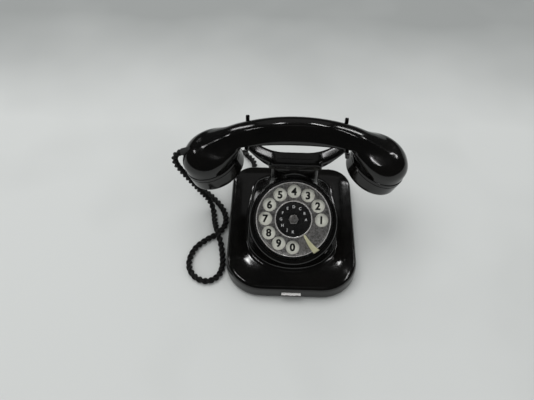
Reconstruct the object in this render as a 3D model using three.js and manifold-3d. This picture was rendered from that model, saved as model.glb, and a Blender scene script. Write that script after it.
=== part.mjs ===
// Desk telephone with a rotary dial, a lift-off handset and a sprung cradle.
// Millimetres, +Z up, +X to the user's right, -Y towards the user. The origin is on the table,
// under the middle of the base.
import * as THREE from 'three';
import { mergeVertices } from 'three/addons/utils/BufferGeometryUtils.js';
import Module from 'manifold-3d';

const wasm = await Module();
wasm.setup();

// ---------------------------------------------------------------- driving dimensions
const CLEARANCE = 0.3; // gap between neighbouring pieces
const PIERCE = 2; // how far a cutter runs past the face it cuts
const FULL_TURN = 2 * Math.PI;
const HALF_TURN = Math.PI;
const QUARTER_TURN = Math.PI / 2;

// moulded housing: a low pan that carries a tower with the dial, and a neck for the cradle
const PAN_WIDTH = 140.4;
const PAN_DEPTH = 168;
const FRONT_CORNER = 40;
const REAR_CORNER = 26;
const FOOT_PROUD = 2.5;
const RIM_HEIGHT = 19;
const RIM_ROUND = 5;
const PAN_DRAFT = 0.6;
const PAN_CROWN = 3;
const HOUSING_WALL = 3;
const BOSS_RADIUS = 45.5;
const BOSS_FILLET = 9;
const BOSS_EDGE = 1.8;
const TOWER_REAR = 58;
const TOWER_SQUARENESS = 4; // of its rear outline: 2 is an ellipse, more is squarer
const NECK_WIDTH = 49;
const NECK_FRONT = 14;
const NECK_BACK = 31.5;
const NECK_TOP = 94;
const NECK_FLARE_SIDE = 22;
const NECK_FLARE_BACK = 36;

// dial, in a frame of its own whose +Z is the dial's normal
const DIAL_SLOPE = THREE.MathUtils.degToRad(36.2);
const DIAL_Y = -25;
const DIAL_Z = 60;
const CASE_MARGIN = 4; // of the boss's top, round the case
const WHEEL_MARGIN = 2.9; // of the case's rim, round the wheel
const WHEEL_PLATE = 1.4;
const WHEEL_BEAD = 1.3;
const BEAD_RISE = 0.6;
const FINGER_HOLES = 10;
const FINGER_CIRCLE_SHARE = 0.75; // of the wheel's radius
const FINGER_HOLE_SHARE = 0.934; // of half the spacing of the holes
const FINGER_PITCH = THREE.MathUtils.degToRad(30);
const BOSS_BELOW_WHEEL = 1;
const CASE_FLANGE = 4;
const CASE_STEP = 5.5; // from the case's rim in to its cup
const CASE_DEPTH = 18;
const CASE_WALL = 1.2;
const NUMBER_PLATE_MARGIN = 3.1; // of the case's rim, round the number plate
const NUMBER_PLATE_THICKNESS = 1;
const NUMBER_PLATE_DROP = 4;
const STOP_ANGLE = THREE.MathUtils.degToRad(-54);
const STOP_TIP = 1.8; // width at its free end
const STOP_FOOT = 7.2; // width on the case's rim
const STOP_HOOK = 1.1; // how far its foot lies towards the first hole
const STOP_THICKNESS = 1.4;
const LABEL_MARGIN = 4; // between the label and the finger holes
const LABEL_THICKNESS = 1;
const LABEL_RING_WIDTH = 1.2;
const HUB_NUT_RADIUS = 5.2;
const HUB_NUT_HEIGHT = 2.6;
const DIAL_SHAFT_RADIUS = 3;
const GEAR_TEETH = 44;
const PINION_TEETH = 11;
const GEAR_THICKNESS = 1.8;
const GEAR_DEPTH = 8;
const GOVERNOR_RADIUS = 6.5;
const GOVERNOR_HEIGHT = 3.6;
const GOVERNOR_ROOM = 0.8; // between the governor and the cup's wall
const BOB_WIDTH = 2.4;
const BOB_LENGTH = 5;
const BOB_HEIGHT = 1.2;
const PINION_SHAFT_RADIUS = 1.2;
const SPRING_WIDTH = 6;
const SPRING_HEIGHT = 4;
const INSULATOR_WIDTH = 7;
const INSULATOR_LENGTH = 12;
const INSULATOR_HEIGHT = 5;
const INSULATOR_INSET = 14; // from the cup's outside
const INSULATOR_Y = -8;
const CONTACT_BLADE_LENGTH = 22;
const CONTACT_BLADE_HEIGHT = 3;
const CONTACT_BLADE_GAP = 3.2;

// base plate and what stands on it
const PLATE_BOTTOM = 4;
const PLATE_THICKNESS = 1.6;
const FOOT_RADIUS = 8;
const FOOT_STEM = 3.1;
const FOOT_INSET_X = 22; // from the pan's outside
const FOOT_INSET_Y = 21;
const CATCH_WIDTH = 20;
const CATCH_THICKNESS = 2.5;
const CATCH_Z = 8.6;
const CATCH_PROUD = 2.6;
const CATCH_LENGTH = 24;
const CORD_RADIUS = 2.8;
const GLAND_INSET = 25.2; // from the pan's outside
const GLAND_Z = 7.6;
const GLAND_RADIUS = 4.6;
const GLAND_LENGTH = 4;
const LEVER_PIVOT_Z = 44;
const LEVER_TO_COILS = 13; // from the pivot back to the coils
const LEVER_WIDTH = 11;
const LEVER_THICKNESS = 2;
const LEVER_PAST = 4.25; // the plunger
const LEVER_PIN_RADIUS = 1.5;
const LEVER_EYE_WALL = 1.8;
const BRACKET_SHEET = 1.5;
const BRACKET_DEPTH = 13;
const PILE_SPACING = 21; // from the middle
const PILE_WIDTH = 8;
const PILE_DEPTH = 9;
const PILE_DROP = 12; // under the pivot
const PILE_BLADES = 3;
const BLADE_LENGTH = 20;
const BLADE_WIDTH = 4;
const BLADE_THICKNESS = 0.8;
const BLADE_PITCH = 4;
const COIL_RADIUS = 7.6;
const COIL_LENGTH = 21;
const COIL_SPACING = 19;
const COIL_Z = 16;
const COIL_CHEEK = 1.4;
const COIL_POLE = 3;
const YOKE_TAIL = 10;
const ARMATURE_GAP = 2.8;
const ARMATURE_WIDTH = 28;
const ARMATURE_HEIGHT = 9;
const ARMATURE_SHEET = 2;
const CLAPPER_LENGTH = 20.5;
const CLAPPER_BALL = 3;
const CLAPPER_STROKE = 3.2; // from rest to just short of a gong
const GONG_RADIUS = 20;
const GONG_HEIGHT = 7.2;
const GONG_WALL = 1.2;
const GONG_MARGIN = 2.7; // between the gongs and the rear wall
const GONG_POST_RADIUS = 3;
const GONG_SCREW_RADIUS = 1.5;
const INDUCTION_LENGTH = 48;
const INDUCTION_RADIUS = 8;
const INDUCTION_CHEEK = 2;
const INDUCTION_FOOT = 12;
const CAPACITOR_WIDTH = 52;
const CAPACITOR_DEPTH = 18;
const CAPACITOR_HEIGHT = 12;
const CAPACITOR_CORNER = 2.5;
const TAG_WIDTH = 3;
const TAG_HEIGHT = 3.5;
const TERMINAL_INSET = 26; // from the pan's outside
const TERMINAL_WIDTH = 12;
const TERMINAL_LENGTH = 44;
const TERMINAL_HEIGHT = 4;
const TERMINAL_SCREWS = 4;
const TERMINAL_SCREW_RADIUS = 2.2;
const TERMINAL_SCREW_HEIGHT = 2;

// cradle
const CRADLE_GAP = 0.4; // over the neck's top edge
const CRADLE_SADDLE = 7.6; // saddle height over the neck's top edge
const SADDLE_FLAT = 12; // half of the saddle's level part
const HUB_WIDTH = 54; // of the block in front of the saddle
const HUB_FRONT = 12;
const HUB_DEPTH = 8;
const HUB_HEIGHT = 8.8; // over the neck's top edge
const HUB_CORNER = 5;
const CRADLE_SKIRT = 14;
const YOKE_X = 49.5;
const YOKE_WIDTH = 4;
const YOKE_ROOM = 2.4; // beside the handle, front and rear
const HORN_THICKNESS = 3.6;
const REAR_HORN = 15; // over the handle's underside
const FRONT_HORN = 3.4;
const PLUNGER_RADIUS = 2.5;
const PLUNGER_TIP = 1.1;
const PLUNGER_TAPER = 1.8;

// handset
const HANDSET_Y = 26;
const HANDLE_UNDER = 124;
const HANDLE_HEIGHT = 25.3;
const HANDLE_HALF_WIDTH = 14;
const HANDLE_SPREAD = 2.4; // of the half width, towards the cups
const ARCH_RADIUS = 141;
const CUP_SPACING = 159.9;
const CUP_FACE_Z = 77.6;
const CUP_TILT = THREE.MathUtils.degToRad(22);
const CUP_DOME = 22; // height of the shell over the cap
const CUP_SQUARENESS = 2.4;
const CAP_RADIUS = 30.3;
const CAP_HEIGHT = 18.5;
const CAP_WALL = 2.6;
const CAP_SIDE = 3;
const CAP_DISH = 12; // width of the raised rim round the sound holes
const CAP_DISH_SLOPE = 3;
const CAP_ROUND = 4;
const SHELL_NECK_LENGTH = 8;
const SHELL_WALL = 2.4;
const CAPSULE_MARGIN = 0.6; // inside the shell's neck
const CAPSULE_HEIGHT = 5.2;
const SOUND_HOLE_RADIUS = 1.3;
const SOUND_CIRCLE = 8;
const SOUND_HOLES = 6;
const HANDSET_GLAND_LENGTH = 12;

// round pieces: number of facets
const PAN_FACETS = 52;
const INSIDE_FACETS = 32;
const FINE = 32;
const MEDIUM = 24;
const COARSE = 14;
const SMALL = 10;

// ---------------------------------------------------------------- derived places
const PLATE_TOP = PLATE_BOTTOM + PLATE_THICKNESS;
const ON_PLATE = PLATE_TOP + CLEARANCE;
const NECK_Y = (NECK_FRONT + NECK_BACK) / 2;
const NECK_HALF_DEPTH = (NECK_BACK - NECK_FRONT) / 2;
const HALF_NECK = NECK_WIDTH / 2;
const DIAL_CENTRE = new THREE.Vector3(0, DIAL_Y, DIAL_Z);
const HALF_CUPS = CUP_SPACING / 2;
const FOOT_X = PAN_WIDTH / 2 - FOOT_INSET_X;
const GLAND_X = PAN_WIDTH / 2 - GLAND_INSET;
const FOOT_Y = PAN_DEPTH / 2 - FOOT_INSET_Y;
const CASE_RADIUS = BOSS_RADIUS - CASE_MARGIN;
const CASE_CUP_RADIUS = CASE_RADIUS - CASE_STEP;
const NUMBER_PLATE_RADIUS = CASE_RADIUS - NUMBER_PLATE_MARGIN;
const WHEEL_RADIUS = CASE_RADIUS - WHEEL_MARGIN;
const FINGER_CIRCLE = WHEEL_RADIUS * FINGER_CIRCLE_SHARE;
const FINGER_HOLE_RADIUS = FINGER_CIRCLE * Math.sin(FINGER_PITCH / 2) * FINGER_HOLE_SHARE;
const LABEL_RADIUS = FINGER_CIRCLE - FINGER_HOLE_RADIUS - LABEL_MARGIN;
const STOP_REACH = LABEL_RADIUS + CLEARANCE + LABEL_RING_WIDTH;
const GEAR_CENTRES = CASE_CUP_RADIUS - CASE_WALL - GOVERNOR_RADIUS - GOVERNOR_ROOM;
const GEAR_MODULE = (2 * GEAR_CENTRES) / (GEAR_TEETH + PINION_TEETH);
const BALL_Y = PAN_DEPTH / 2 - HOUSING_WALL - GONG_RADIUS - GONG_MARGIN;
const ARMATURE_Y = BALL_Y - CLAPPER_LENGTH;
const COIL_BACK = ARMATURE_Y - ARMATURE_SHEET / 2 - ARMATURE_GAP;
const COIL_FRONT = COIL_BACK - COIL_LENGTH;
const LEVER_PIVOT_Y = COIL_FRONT - LEVER_TO_COILS;
const LEVER_REACH = NECK_Y + LEVER_PAST - LEVER_PIVOT_Y;
const CATCH_NOSE = -PAN_DEPTH / 2 - CATCH_PROUD;
const CATCH_TAIL = CATCH_NOSE + CATCH_LENGTH;

// ---------------------------------------------------------------- materials
function finish(color, roughness, metalness) {
  return new THREE.MeshStandardMaterial({ color, roughness, metalness });
}

const bakelite = finish(0x0b0b0c, 0.12, 0);
const nickel = finish(0xb9bab8, 0.28, 1);
const brass = finish(0xc9b878, 0.35, 1);
const enamel = finish(0xe4e6dd, 0.3, 0);
const rubber = finish(0x1a1a1a, 0.85, 0);
const plateSteel = finish(0x6c6f70, 0.5, 1);
const winding = finish(0x5a2f1a, 0.6, 0);
const waxedPaper = finish(0x9c8a5e, 0.7, 0);
const textile = finish(0x101010, 0.9, 0);

// ---------------------------------------------------------------- geometry helpers
/** Keeps positions only and merges shared corners, so that the surface is closed. */
function weld(geometry) {
  const bare = geometry.index ? geometry.toNonIndexed() : geometry.clone();
  bare.deleteAttribute('normal');
  bare.deleteAttribute('uv');
  return mergeVertices(bare, 1e-4);
}

function toSolid(geometry) {
  const welded = weld(geometry);
  return new wasm.Manifold(new wasm.Mesh({
    numProp: 3,
    vertProperties: new Float32Array(welded.attributes.position.array),
    triVerts: new Uint32Array(welded.index.array),
  }));
}

function toGeometry(solid) {
  const { vertProperties, triVerts } = solid.getMesh();
  const geometry = new THREE.BufferGeometry();
  geometry.setAttribute('position', new THREE.BufferAttribute(new Float32Array(vertProperties), 3));
  geometry.setIndex(new THREE.BufferAttribute(new Uint32Array(triVerts), 1));
  return geometry;
}

function cut(body, ...tools) {
  return toGeometry(tools.reduce((solid, tool) => solid.subtract(toSolid(tool)), toSolid(body)));
}

/** What two solids have in common. */
function common(first, second) {
  return toGeometry(toSolid(first).intersect(toSolid(second)));
}

function join(...pieces) {
  return toGeometry(pieces.slice(1).reduce((solid, piece) => solid.add(toSolid(piece)), toSolid(pieces[0])));
}

/** Skins a row of point rings, each with as many points, and closes both ends. */
function loft(rings) {
  const points = rings.flat();
  const count = rings[0].length;
  const triangles = [];
  for (let ring = 0; ring + 1 < rings.length; ring += 1) {
    for (let step = 0; step < count; step += 1) {
      const here = ring * count + step;
      const beside = ring * count + (step + 1) % count;
      triangles.push(here, beside, here + count, beside, beside + count, here + count);
    }
  }
  for (const [ring, offset] of [[rings[0], 0], [rings.at(-1), points.length - count]]) {
    const middle = ring.reduce((sum, point) => sum.add(point), new THREE.Vector3()).divideScalar(count);
    const hub = points.push(middle) - 1;
    for (let step = 0; step < count; step += 1) {
      const corners = [offset + (step + 1) % count, offset + step, hub];
      triangles.push(...(offset === 0 ? corners : corners.reverse()));
    }
  }
  return faceOutwards(new THREE.BufferGeometry().setFromPoints(points).setIndex(triangles));
}

/** Turns a closed surface right side out where its volume comes out negative. */
function faceOutwards(geometry) {
  const { position } = geometry.attributes;
  const index = [...geometry.index.array];
  const [a, b, c] = [new THREE.Vector3(), new THREE.Vector3(), new THREE.Vector3()];
  let volume = 0;
  for (let corner = 0; corner < index.length; corner += 3) {
    a.fromBufferAttribute(position, index[corner]);
    b.fromBufferAttribute(position, index[corner + 1]);
    c.fromBufferAttribute(position, index[corner + 2]);
    volume += a.dot(b.cross(c));
  }
  return volume < 0 ? geometry.setIndex(index.reverse()) : geometry;
}

/** Distance from the middle of a rounded rectangle to its outline, along an angle. */
function roundedReach(halfWidth, halfDepth, corner, angle) {
  const along = Math.abs(Math.cos(angle));
  const across = Math.abs(Math.sin(angle));
  const cornerX = halfWidth - corner;
  const cornerY = halfDepth - corner;
  if (halfWidth * across <= cornerY * along) return halfWidth / along;
  if (halfDepth * along <= cornerX * across) return halfDepth / across;
  const onward = along * cornerX + across * cornerY;
  return onward + Math.sqrt(onward * onward - cornerX * cornerX - cornerY * cornerY + corner * corner);
}

/** Distance from the middle of a superellipse to its outline, along an angle. */
function superReach(halfWidth, halfDepth, power, angle) {
  const width = Math.abs(Math.cos(angle) / halfWidth) ** power;
  const depth = Math.abs(Math.sin(angle) / halfDepth) ** power;
  return (width + depth) ** (-1 / power);
}

/** A ring of points round (0, centreY): reach(angle) gives the radius and height(x, y) gives z. */
function ringOf(count, centreY, reach, height) {
  return Array.from({ length: count }, (_, step) => {
    const angle = (step / count) * FULL_TURN;
    const x = reach(angle) * Math.cos(angle);
    const y = centreY + reach(angle) * Math.sin(angle);
    return new THREE.Vector3(x, y, height(x, y));
  });
}

/** A turned piece: profile pairs are [radius, height], from the axis back to the axis, or a closed loop. */
function turned(profile, facets = MEDIUM) {
  const points = profile.map(([radius, height]) => new THREE.Vector2(radius, height));
  return faceOutwards(weld(new THREE.LatheGeometry(points, facets).rotateX(QUARTER_TURN)));
}

/** A closed turned loop, for pieces with a hole along the axis. */
const turnedLoop = (profile, facets = MEDIUM) => turned([...profile, profile[0]], facets);

function rod(radius, low, high, facets = SMALL) {
  return turned([[0, low], [radius, low], [radius, high], [0, high]], facets);
}

function block(width, depth, height, x, y, z) {
  return new THREE.BoxGeometry(width, depth, height).translate(x, y, z + height / 2);
}

/** A flat outline in X and Y, raised from z to z + height. */
function raised(shape, height, z, curveSegments = SMALL) {
  const slab = new THREE.ExtrudeGeometry(shape, { depth: height, bevelEnabled: false, curveSegments });
  return slab.translate(0, 0, z);
}

/** An outline drawn in Y and Z, swept along X and centred on x. */
function sweptAcross(shape, width, x, curveSegments = SMALL) {
  const slab = new THREE.ExtrudeGeometry(shape, { depth: width, bevelEnabled: false, curveSegments });
  return slab.rotateX(QUARTER_TURN).rotateZ(QUARTER_TURN).translate(x - width / 2, 0, 0);
}

function outline(points) {
  return new THREE.Shape(points.map(([x, y]) => new THREE.Vector2(x, y)));
}

function roundedRectangle(halfWidth, halfDepth, corner) {
  const shape = new THREE.Shape();
  shape.absarc(halfWidth - corner, halfDepth - corner, corner, 0, QUARTER_TURN);
  shape.absarc(corner - halfWidth, halfDepth - corner, corner, QUARTER_TURN, HALF_TURN);
  shape.absarc(corner - halfWidth, corner - halfDepth, corner, HALF_TURN, HALF_TURN + QUARTER_TURN);
  shape.absarc(halfWidth - corner, corner - halfDepth, corner, HALF_TURN + QUARTER_TURN, FULL_TURN);
  return shape;
}

/** Points along a quarter circle, as [inset, rise] from its start. */
function quarterRound(radius, steps) {
  return Array.from({ length: steps + 1 }, (_, step) => {
    const angle = (step / steps) * QUARTER_TURN;
    return [radius * (1 - Math.cos(angle)), radius * Math.sin(angle)];
  });
}

const telephone = new THREE.Group();
const dial = new THREE.Group();
dial.position.copy(DIAL_CENTRE);
dial.rotation.x = DIAL_SLOPE;
telephone.add(dial);

function place(group, name, geometry, material) {
  const mesh = new THREE.Mesh(geometry, material);
  mesh.name = name;
  group.add(mesh);
  return mesh;
}

// ---------------------------------------------------------------- housing
const dialPlane = (y, drop) => DIAL_Z - drop / Math.cos(DIAL_SLOPE) + (y - DIAL_Y) * Math.tan(DIAL_SLOPE);

/** The pan's outline moved inwards by an inset; its front corners are rounder than the rear ones. */
function panRing(count, inset, z) {
  const corner = (angle) => (Math.sin(angle) < 0 ? FRONT_CORNER : REAR_CORNER) - inset;
  const reach = (angle) => roundedReach(PAN_WIDTH / 2 - inset, PAN_DEPTH / 2 - inset, corner(angle), angle);
  return ringOf(count, 0, reach, () => z);
}

/** The low pan with its rolled rim; shrink is the wall that is taken off for the inside. */
function panBody(shrink, bottom) {
  const ring = (inset, z) => panRing(shrink > 0 ? INSIDE_FACETS : PAN_FACETS, inset, z);
  const shoulder = RIM_HEIGHT - RIM_ROUND;
  const round = RIM_ROUND - shrink / 2;
  const rolled = quarterRound(round, shrink > 0 ? 2 : 4).map(([inset, rise]) => ring(
    shrink + PAN_DRAFT + inset,
    shoulder - shrink + (RIM_ROUND - round) + rise,
  ));
  const crown = ring(REAR_CORNER - 1, RIM_HEIGHT - shrink + PAN_CROWN);
  return loft([ring(shrink, bottom), ...rolled, crown]);
}

/** The tower under the dial: a filleted foot on the pan that leans back to the round dial boss. */
function towerBody(shrink) {
  const foot = RIM_HEIGHT - shrink;
  const bossDepth = BOSS_RADIUS * Math.cos(DIAL_SLOPE);
  const facets = shrink > 0 ? MEDIUM : FINE;
  const footReach = (grown) => (angle) => (Math.sin(angle) < 0
    ? superReach(BOSS_RADIUS + grown, bossDepth + grown, 2, angle)
    : superReach(BOSS_RADIUS + grown, TOWER_REAR - DIAL_Y + grown, TOWER_SQUARENESS, angle));
  const fillet = quarterRound(BOSS_FILLET, shrink > 0 ? 1 : 3).reverse().map(([inset, rise]) => ringOf(
    facets,
    DIAL_Y,
    footReach(inset - shrink),
    () => foot + BOSS_FILLET - rise,
  ));
  const bossRing = (inset, drop) => ringOf(
    facets,
    DIAL_Y,
    (angle) => superReach(BOSS_RADIUS - inset - shrink, bossDepth - inset - shrink, 2, angle),
    (x, y) => dialPlane(y, BOSS_BELOW_WHEEL + drop + shrink),
  );
  const steps = shrink > 0 ? 1 : 2;
  const edge = quarterRound(BOSS_EDGE, steps).map(([inset, rise]) => bossRing(inset, BOSS_EDGE - rise));
  return loft([...fillet, ...edge]);
}

/** The slim neck behind the dial, whose flanks and back sweep out in a hollow curve to the pan. */
function neckBody(shrink, top) {
  const foot = RIM_HEIGHT + 1;
  const steps = shrink > 0 ? 5 : 8;
  const rings = Array.from({ length: steps + 1 }, (_, step) => {
    const share = (step / steps) ** 1.25;
    const fall = 1 - share;
    const halfWidth = HALF_NECK - shrink + NECK_FLARE_SIDE * fall ** 3;
    const back = NECK_BACK - shrink + NECK_FLARE_BACK * fall ** 2.4;
    const front = NECK_FRONT + shrink - HOUSING_WALL * fall;
    return ringOf(
      shrink > 0 ? COARSE : MEDIUM,
      (front + back) / 2,
      (angle) => superReach(halfWidth, (back - front) / 2, 6 - 3 * fall, angle),
      () => foot - shrink + (NECK_TOP - foot) * share,
    );
  });
  const lid = rings.at(-1).map((point) => point.clone().setZ(top));
  return loft([...rings, lid]);
}

function housing() {
  const outside = join(panBody(0, FOOT_PROUD), towerBody(0), neckBody(0, NECK_TOP));
  const inside = join(
    panBody(HOUSING_WALL, FOOT_PROUD - PIERCE),
    towerBody(HOUSING_WALL),
    neckBody(HOUSING_WALL, NECK_TOP + PIERCE),
  );
  const dialMouth = rod(CASE_RADIUS + CLEARANCE, -CASE_FLANGE - PIERCE - BOSS_BELOW_WHEEL, PIERCE, FINE)
    .rotateX(DIAL_SLOPE).translate(...DIAL_CENTRE.toArray());
  const catchSlot = block(
    CATCH_WIDTH + 2 * CLEARANCE,
    HOUSING_WALL + 2 * PIERCE,
    CATCH_THICKNESS + 2 * CLEARANCE,
    0,
    (HOUSING_WALL - PAN_DEPTH) / 2,
    CATCH_Z - CLEARANCE,
  );
  const glandHoles = [-GLAND_X, GLAND_X].map((x) => rod(
    CORD_RADIUS + 1 + CLEARANCE,
    -HOUSING_WALL - PIERCE,
    PIERCE,
    SMALL,
  ).rotateX(-QUARTER_TURN).translate(x, PAN_DEPTH / 2, GLAND_Z));
  return cut(outside, inside, dialMouth, catchSlot, ...glandHoles);
}

place(telephone, 'housing', housing(), bakelite);

// ---------------------------------------------------------------- base plate, feet and catch
function basePlate() {
  const edge = panRing(INSIDE_FACETS, HOUSING_WALL + PAN_DRAFT + CLEARANCE, 0);
  const shape = outline(edge.map(({ x, y }) => [x, y]));
  for (const x of [-FOOT_X, FOOT_X]) {
    for (const y of [-FOOT_Y, FOOT_Y]) {
      const hole = new THREE.Path().absarc(x, y, FOOT_STEM + CLEARANCE, 0, FULL_TURN);
      shape.holes.push(hole);
    }
  }
  return raised(shape, PLATE_THICKNESS, PLATE_BOTTOM, 8);
}

function foot() {
  const under = PLATE_BOTTOM - CLEARANCE;
  return turned([
    [0, 0], [FOOT_RADIUS - 1, 0], [FOOT_RADIUS, 1], [FOOT_RADIUS - 0.4, under], [FOOT_STEM, under],
    [FOOT_STEM, ON_PLATE], [FOOT_STEM + 1.4, ON_PLATE], [FOOT_STEM + 1, ON_PLATE + 0.6], [0, ON_PLATE + 0.6],
  ], SMALL);
}

/** A stepped slide: its tongue stands out of the front slot, its tail lies on the base plate. */
function frontCatch() {
  const [nose, tail] = [CATCH_NOSE, CATCH_TAIL];
  const step = (nose + tail) / 2;
  const top = CATCH_Z + CATCH_THICKNESS;
  const section = outline([
    [nose, CATCH_Z], [step, CATCH_Z], [step, ON_PLATE], [tail, ON_PLATE],
    [tail, ON_PLATE + CATCH_THICKNESS], [step + CATCH_THICKNESS, ON_PLATE + CATCH_THICKNESS],
    [step + CATCH_THICKNESS, top], [nose + 1, top], [nose, top - 1],
  ]);
  return sweptAcross(section, CATCH_WIDTH, 0);
}

place(telephone, 'base_plate', basePlate(), plateSteel);
for (const [side, x] of [['left', -FOOT_X], ['right', FOOT_X]]) {
  for (const [end, y] of [['front', -FOOT_Y], ['rear', FOOT_Y]]) {
    place(telephone, `foot_${end}_${side}`, foot(), rubber).position.set(x, y, 0);
  }
}
place(telephone, 'front_catch', frontCatch(), nickel);

// ---------------------------------------------------------------- glands in the rear skirt
/** A bush through the skirt with a collar outside; its bore is the cord's. */
function skirtGland() {
  const neck = CORD_RADIUS + 1;
  const inner = -HOUSING_WALL;
  return turnedLoop([
    [CORD_RADIUS + CLEARANCE, inner], [neck, inner], [neck, CLEARANCE], [GLAND_RADIUS, CLEARANCE],
    [GLAND_RADIUS - 0.4, GLAND_LENGTH - 1], [GLAND_RADIUS - 1.2, GLAND_LENGTH],
    [CORD_RADIUS + CLEARANCE, GLAND_LENGTH],
  ], COARSE).rotateX(-QUARTER_TURN);
}

for (const [name, x] of [['handset_cord_gland_rear', -GLAND_X], ['line_cord_inlet', GLAND_X]]) {
  place(telephone, name, skirtGland(), rubber).position.set(x, PAN_DEPTH / 2, GLAND_Z);
}

// ---------------------------------------------------------------- dial
const NUMBER_PLATE_TOP = -NUMBER_PLATE_DROP;
const NUMBER_PLATE_BOTTOM = NUMBER_PLATE_TOP - NUMBER_PLATE_THICKNESS;
const CASE_TOP = -BOSS_BELOW_WHEEL - 1;
const CASE_BOTTOM = -CASE_DEPTH;
const CASE_LEDGE = NUMBER_PLATE_BOTTOM - CLEARANCE;
const GEAR_TOP = -GEAR_DEPTH;
const GEAR_BOTTOM = GEAR_TOP - GEAR_THICKNESS;
const GOVERNOR_ANGLE = THREE.MathUtils.degToRad(150);

/** The die-cast cup that holds the works; its rim lies in the mouth of the boss. */
function dialCase() {
  const flangeBottom = CASE_TOP - CASE_FLANGE;
  const bore = DIAL_SHAFT_RADIUS + CLEARANCE;
  const cup = CASE_CUP_RADIUS - CASE_WALL;
  const seat = NUMBER_PLATE_RADIUS + CLEARANCE;
  return cut(turnedLoop([
    [bore, CASE_BOTTOM], [CASE_CUP_RADIUS, CASE_BOTTOM], [CASE_CUP_RADIUS, flangeBottom],
    [CASE_RADIUS, flangeBottom], [CASE_RADIUS, CASE_TOP], [seat, CASE_TOP], [seat, CASE_LEDGE],
    [cup, CASE_LEDGE], [cup, CASE_BOTTOM + CASE_WALL], [bore, CASE_BOTTOM + CASE_WALL],
  ], FINE), governorHole());
}

const governorPlace = () => new THREE.Vector2(
  GEAR_CENTRES * Math.cos(GOVERNOR_ANGLE),
  GEAR_CENTRES * Math.sin(GOVERNOR_ANGLE),
);

function governorHole() {
  const { x, y } = governorPlace();
  return rod(PINION_SHAFT_RADIUS + CLEARANCE, CASE_BOTTOM - PIERCE, CASE_BOTTOM + PIERCE).translate(x, y, 0);
}

function numberPlate() {
  return turnedLoop([
    [DIAL_SHAFT_RADIUS + 1, NUMBER_PLATE_BOTTOM], [NUMBER_PLATE_RADIUS, NUMBER_PLATE_BOTTOM],
    [NUMBER_PLATE_RADIUS, NUMBER_PLATE_TOP], [DIAL_SHAFT_RADIUS + 1, NUMBER_PLATE_TOP],
  ], FINE);
}

/** The finger wheel: a thin plate with a rolled bead round its edge, and ten round holes. */
function fingerWheel() {
  const inner = WHEEL_RADIUS - 2 * WHEEL_BEAD;
  const plate = turnedLoop([
    [DIAL_SHAFT_RADIUS + CLEARANCE, -WHEEL_PLATE], [inner, -WHEEL_PLATE],
    [inner + 0.4, -WHEEL_PLATE - BEAD_RISE], [WHEEL_RADIUS, -WHEEL_PLATE], [WHEEL_RADIUS, 0],
    [WHEEL_RADIUS - WHEEL_BEAD / 2, BEAD_RISE], [inner, 0], [DIAL_SHAFT_RADIUS + CLEARANCE, 0],
  ], FINE);
  const holes = Array.from({ length: FINGER_HOLES }, (_, step) => {
    const angle = step * FINGER_PITCH;
    return rod(FINGER_HOLE_RADIUS, -WHEEL_PLATE - PIERCE, PIERCE, COARSE)
      .translate(FINGER_CIRCLE * Math.cos(angle), FINGER_CIRCLE * Math.sin(angle), 0);
  });
  return cut(plate, ...holes);
}

const LABEL_BOTTOM = CLEARANCE;
const LABEL_TOP = LABEL_BOTTOM + LABEL_THICKNESS;

function centreLabel() {
  const bore = DIAL_SHAFT_RADIUS + CLEARANCE;
  return turnedLoop([
    [bore, LABEL_BOTTOM], [LABEL_RADIUS, LABEL_BOTTOM], [LABEL_RADIUS, LABEL_TOP - 0.3],
    [LABEL_RADIUS - 0.3, LABEL_TOP], [bore, LABEL_TOP],
  ], MEDIUM);
}

function labelRing() {
  const inner = LABEL_RADIUS + CLEARANCE;
  const outer = inner + LABEL_RING_WIDTH;
  return turnedLoop([
    [inner, LABEL_BOTTOM], [outer, LABEL_BOTTOM], [outer, LABEL_TOP - 0.2],
    [(inner + outer) / 2, LABEL_TOP + 0.1], [inner, LABEL_TOP - 0.2],
  ], MEDIUM);
}

function hubNut() {
  const low = LABEL_TOP + CLEARANCE;
  const high = low + HUB_NUT_HEIGHT;
  return turned([
    [0, low], [HUB_NUT_RADIUS, low], [HUB_NUT_RADIUS, high - 0.6], [HUB_NUT_RADIUS - 0.7, high], [0, high],
  ], 6);
}

/** The dial's spindle: a collar under the wheel, a journal in the case, and the end that the nut closes. */
function dialShaft() {
  const collar = DIAL_SHAFT_RADIUS + 2;
  const under = -WHEEL_PLATE - CLEARANCE;
  return turned([
    [0, CASE_BOTTOM - 1], [DIAL_SHAFT_RADIUS, CASE_BOTTOM - 1], [DIAL_SHAFT_RADIUS, under - 1.4],
    [collar, under - 1.4], [collar, under], [DIAL_SHAFT_RADIUS, under], [DIAL_SHAFT_RADIUS, LABEL_TOP],
    [0, LABEL_TOP],
  ], COARSE);
}

/** A spur wheel with straight-flanked teeth that are a little thin, so that a pair runs free. */
function toothedWheel(teeth, bore, low, high, turn) {
  const pitchRadius = (GEAR_MODULE * teeth) / 2;
  const tip = pitchRadius + 0.8 * GEAR_MODULE;
  const root = pitchRadius - 1.1 * GEAR_MODULE;
  const pitch = FULL_TURN / teeth;
  const corners = [[-0.3, root], [-0.12, tip], [0.12, tip], [0.3, root]];
  const points = [];
  for (let tooth = 0; tooth < teeth; tooth += 1) {
    for (const [share, radius] of corners) {
      const angle = turn + (tooth + share) * pitch;
      points.push([radius * Math.cos(angle), radius * Math.sin(angle)]);
    }
  }
  const shape = outline(points);
  shape.holes.push(new THREE.Path().absarc(0, 0, bore, 0, FULL_TURN));
  return raised(shape, high - low, low, 8);
}

function dialGear() {
  return toothedWheel(GEAR_TEETH, DIAL_SHAFT_RADIUS + CLEARANCE, GEAR_BOTTOM, GEAR_TOP, GOVERNOR_ANGLE);
}

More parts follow.
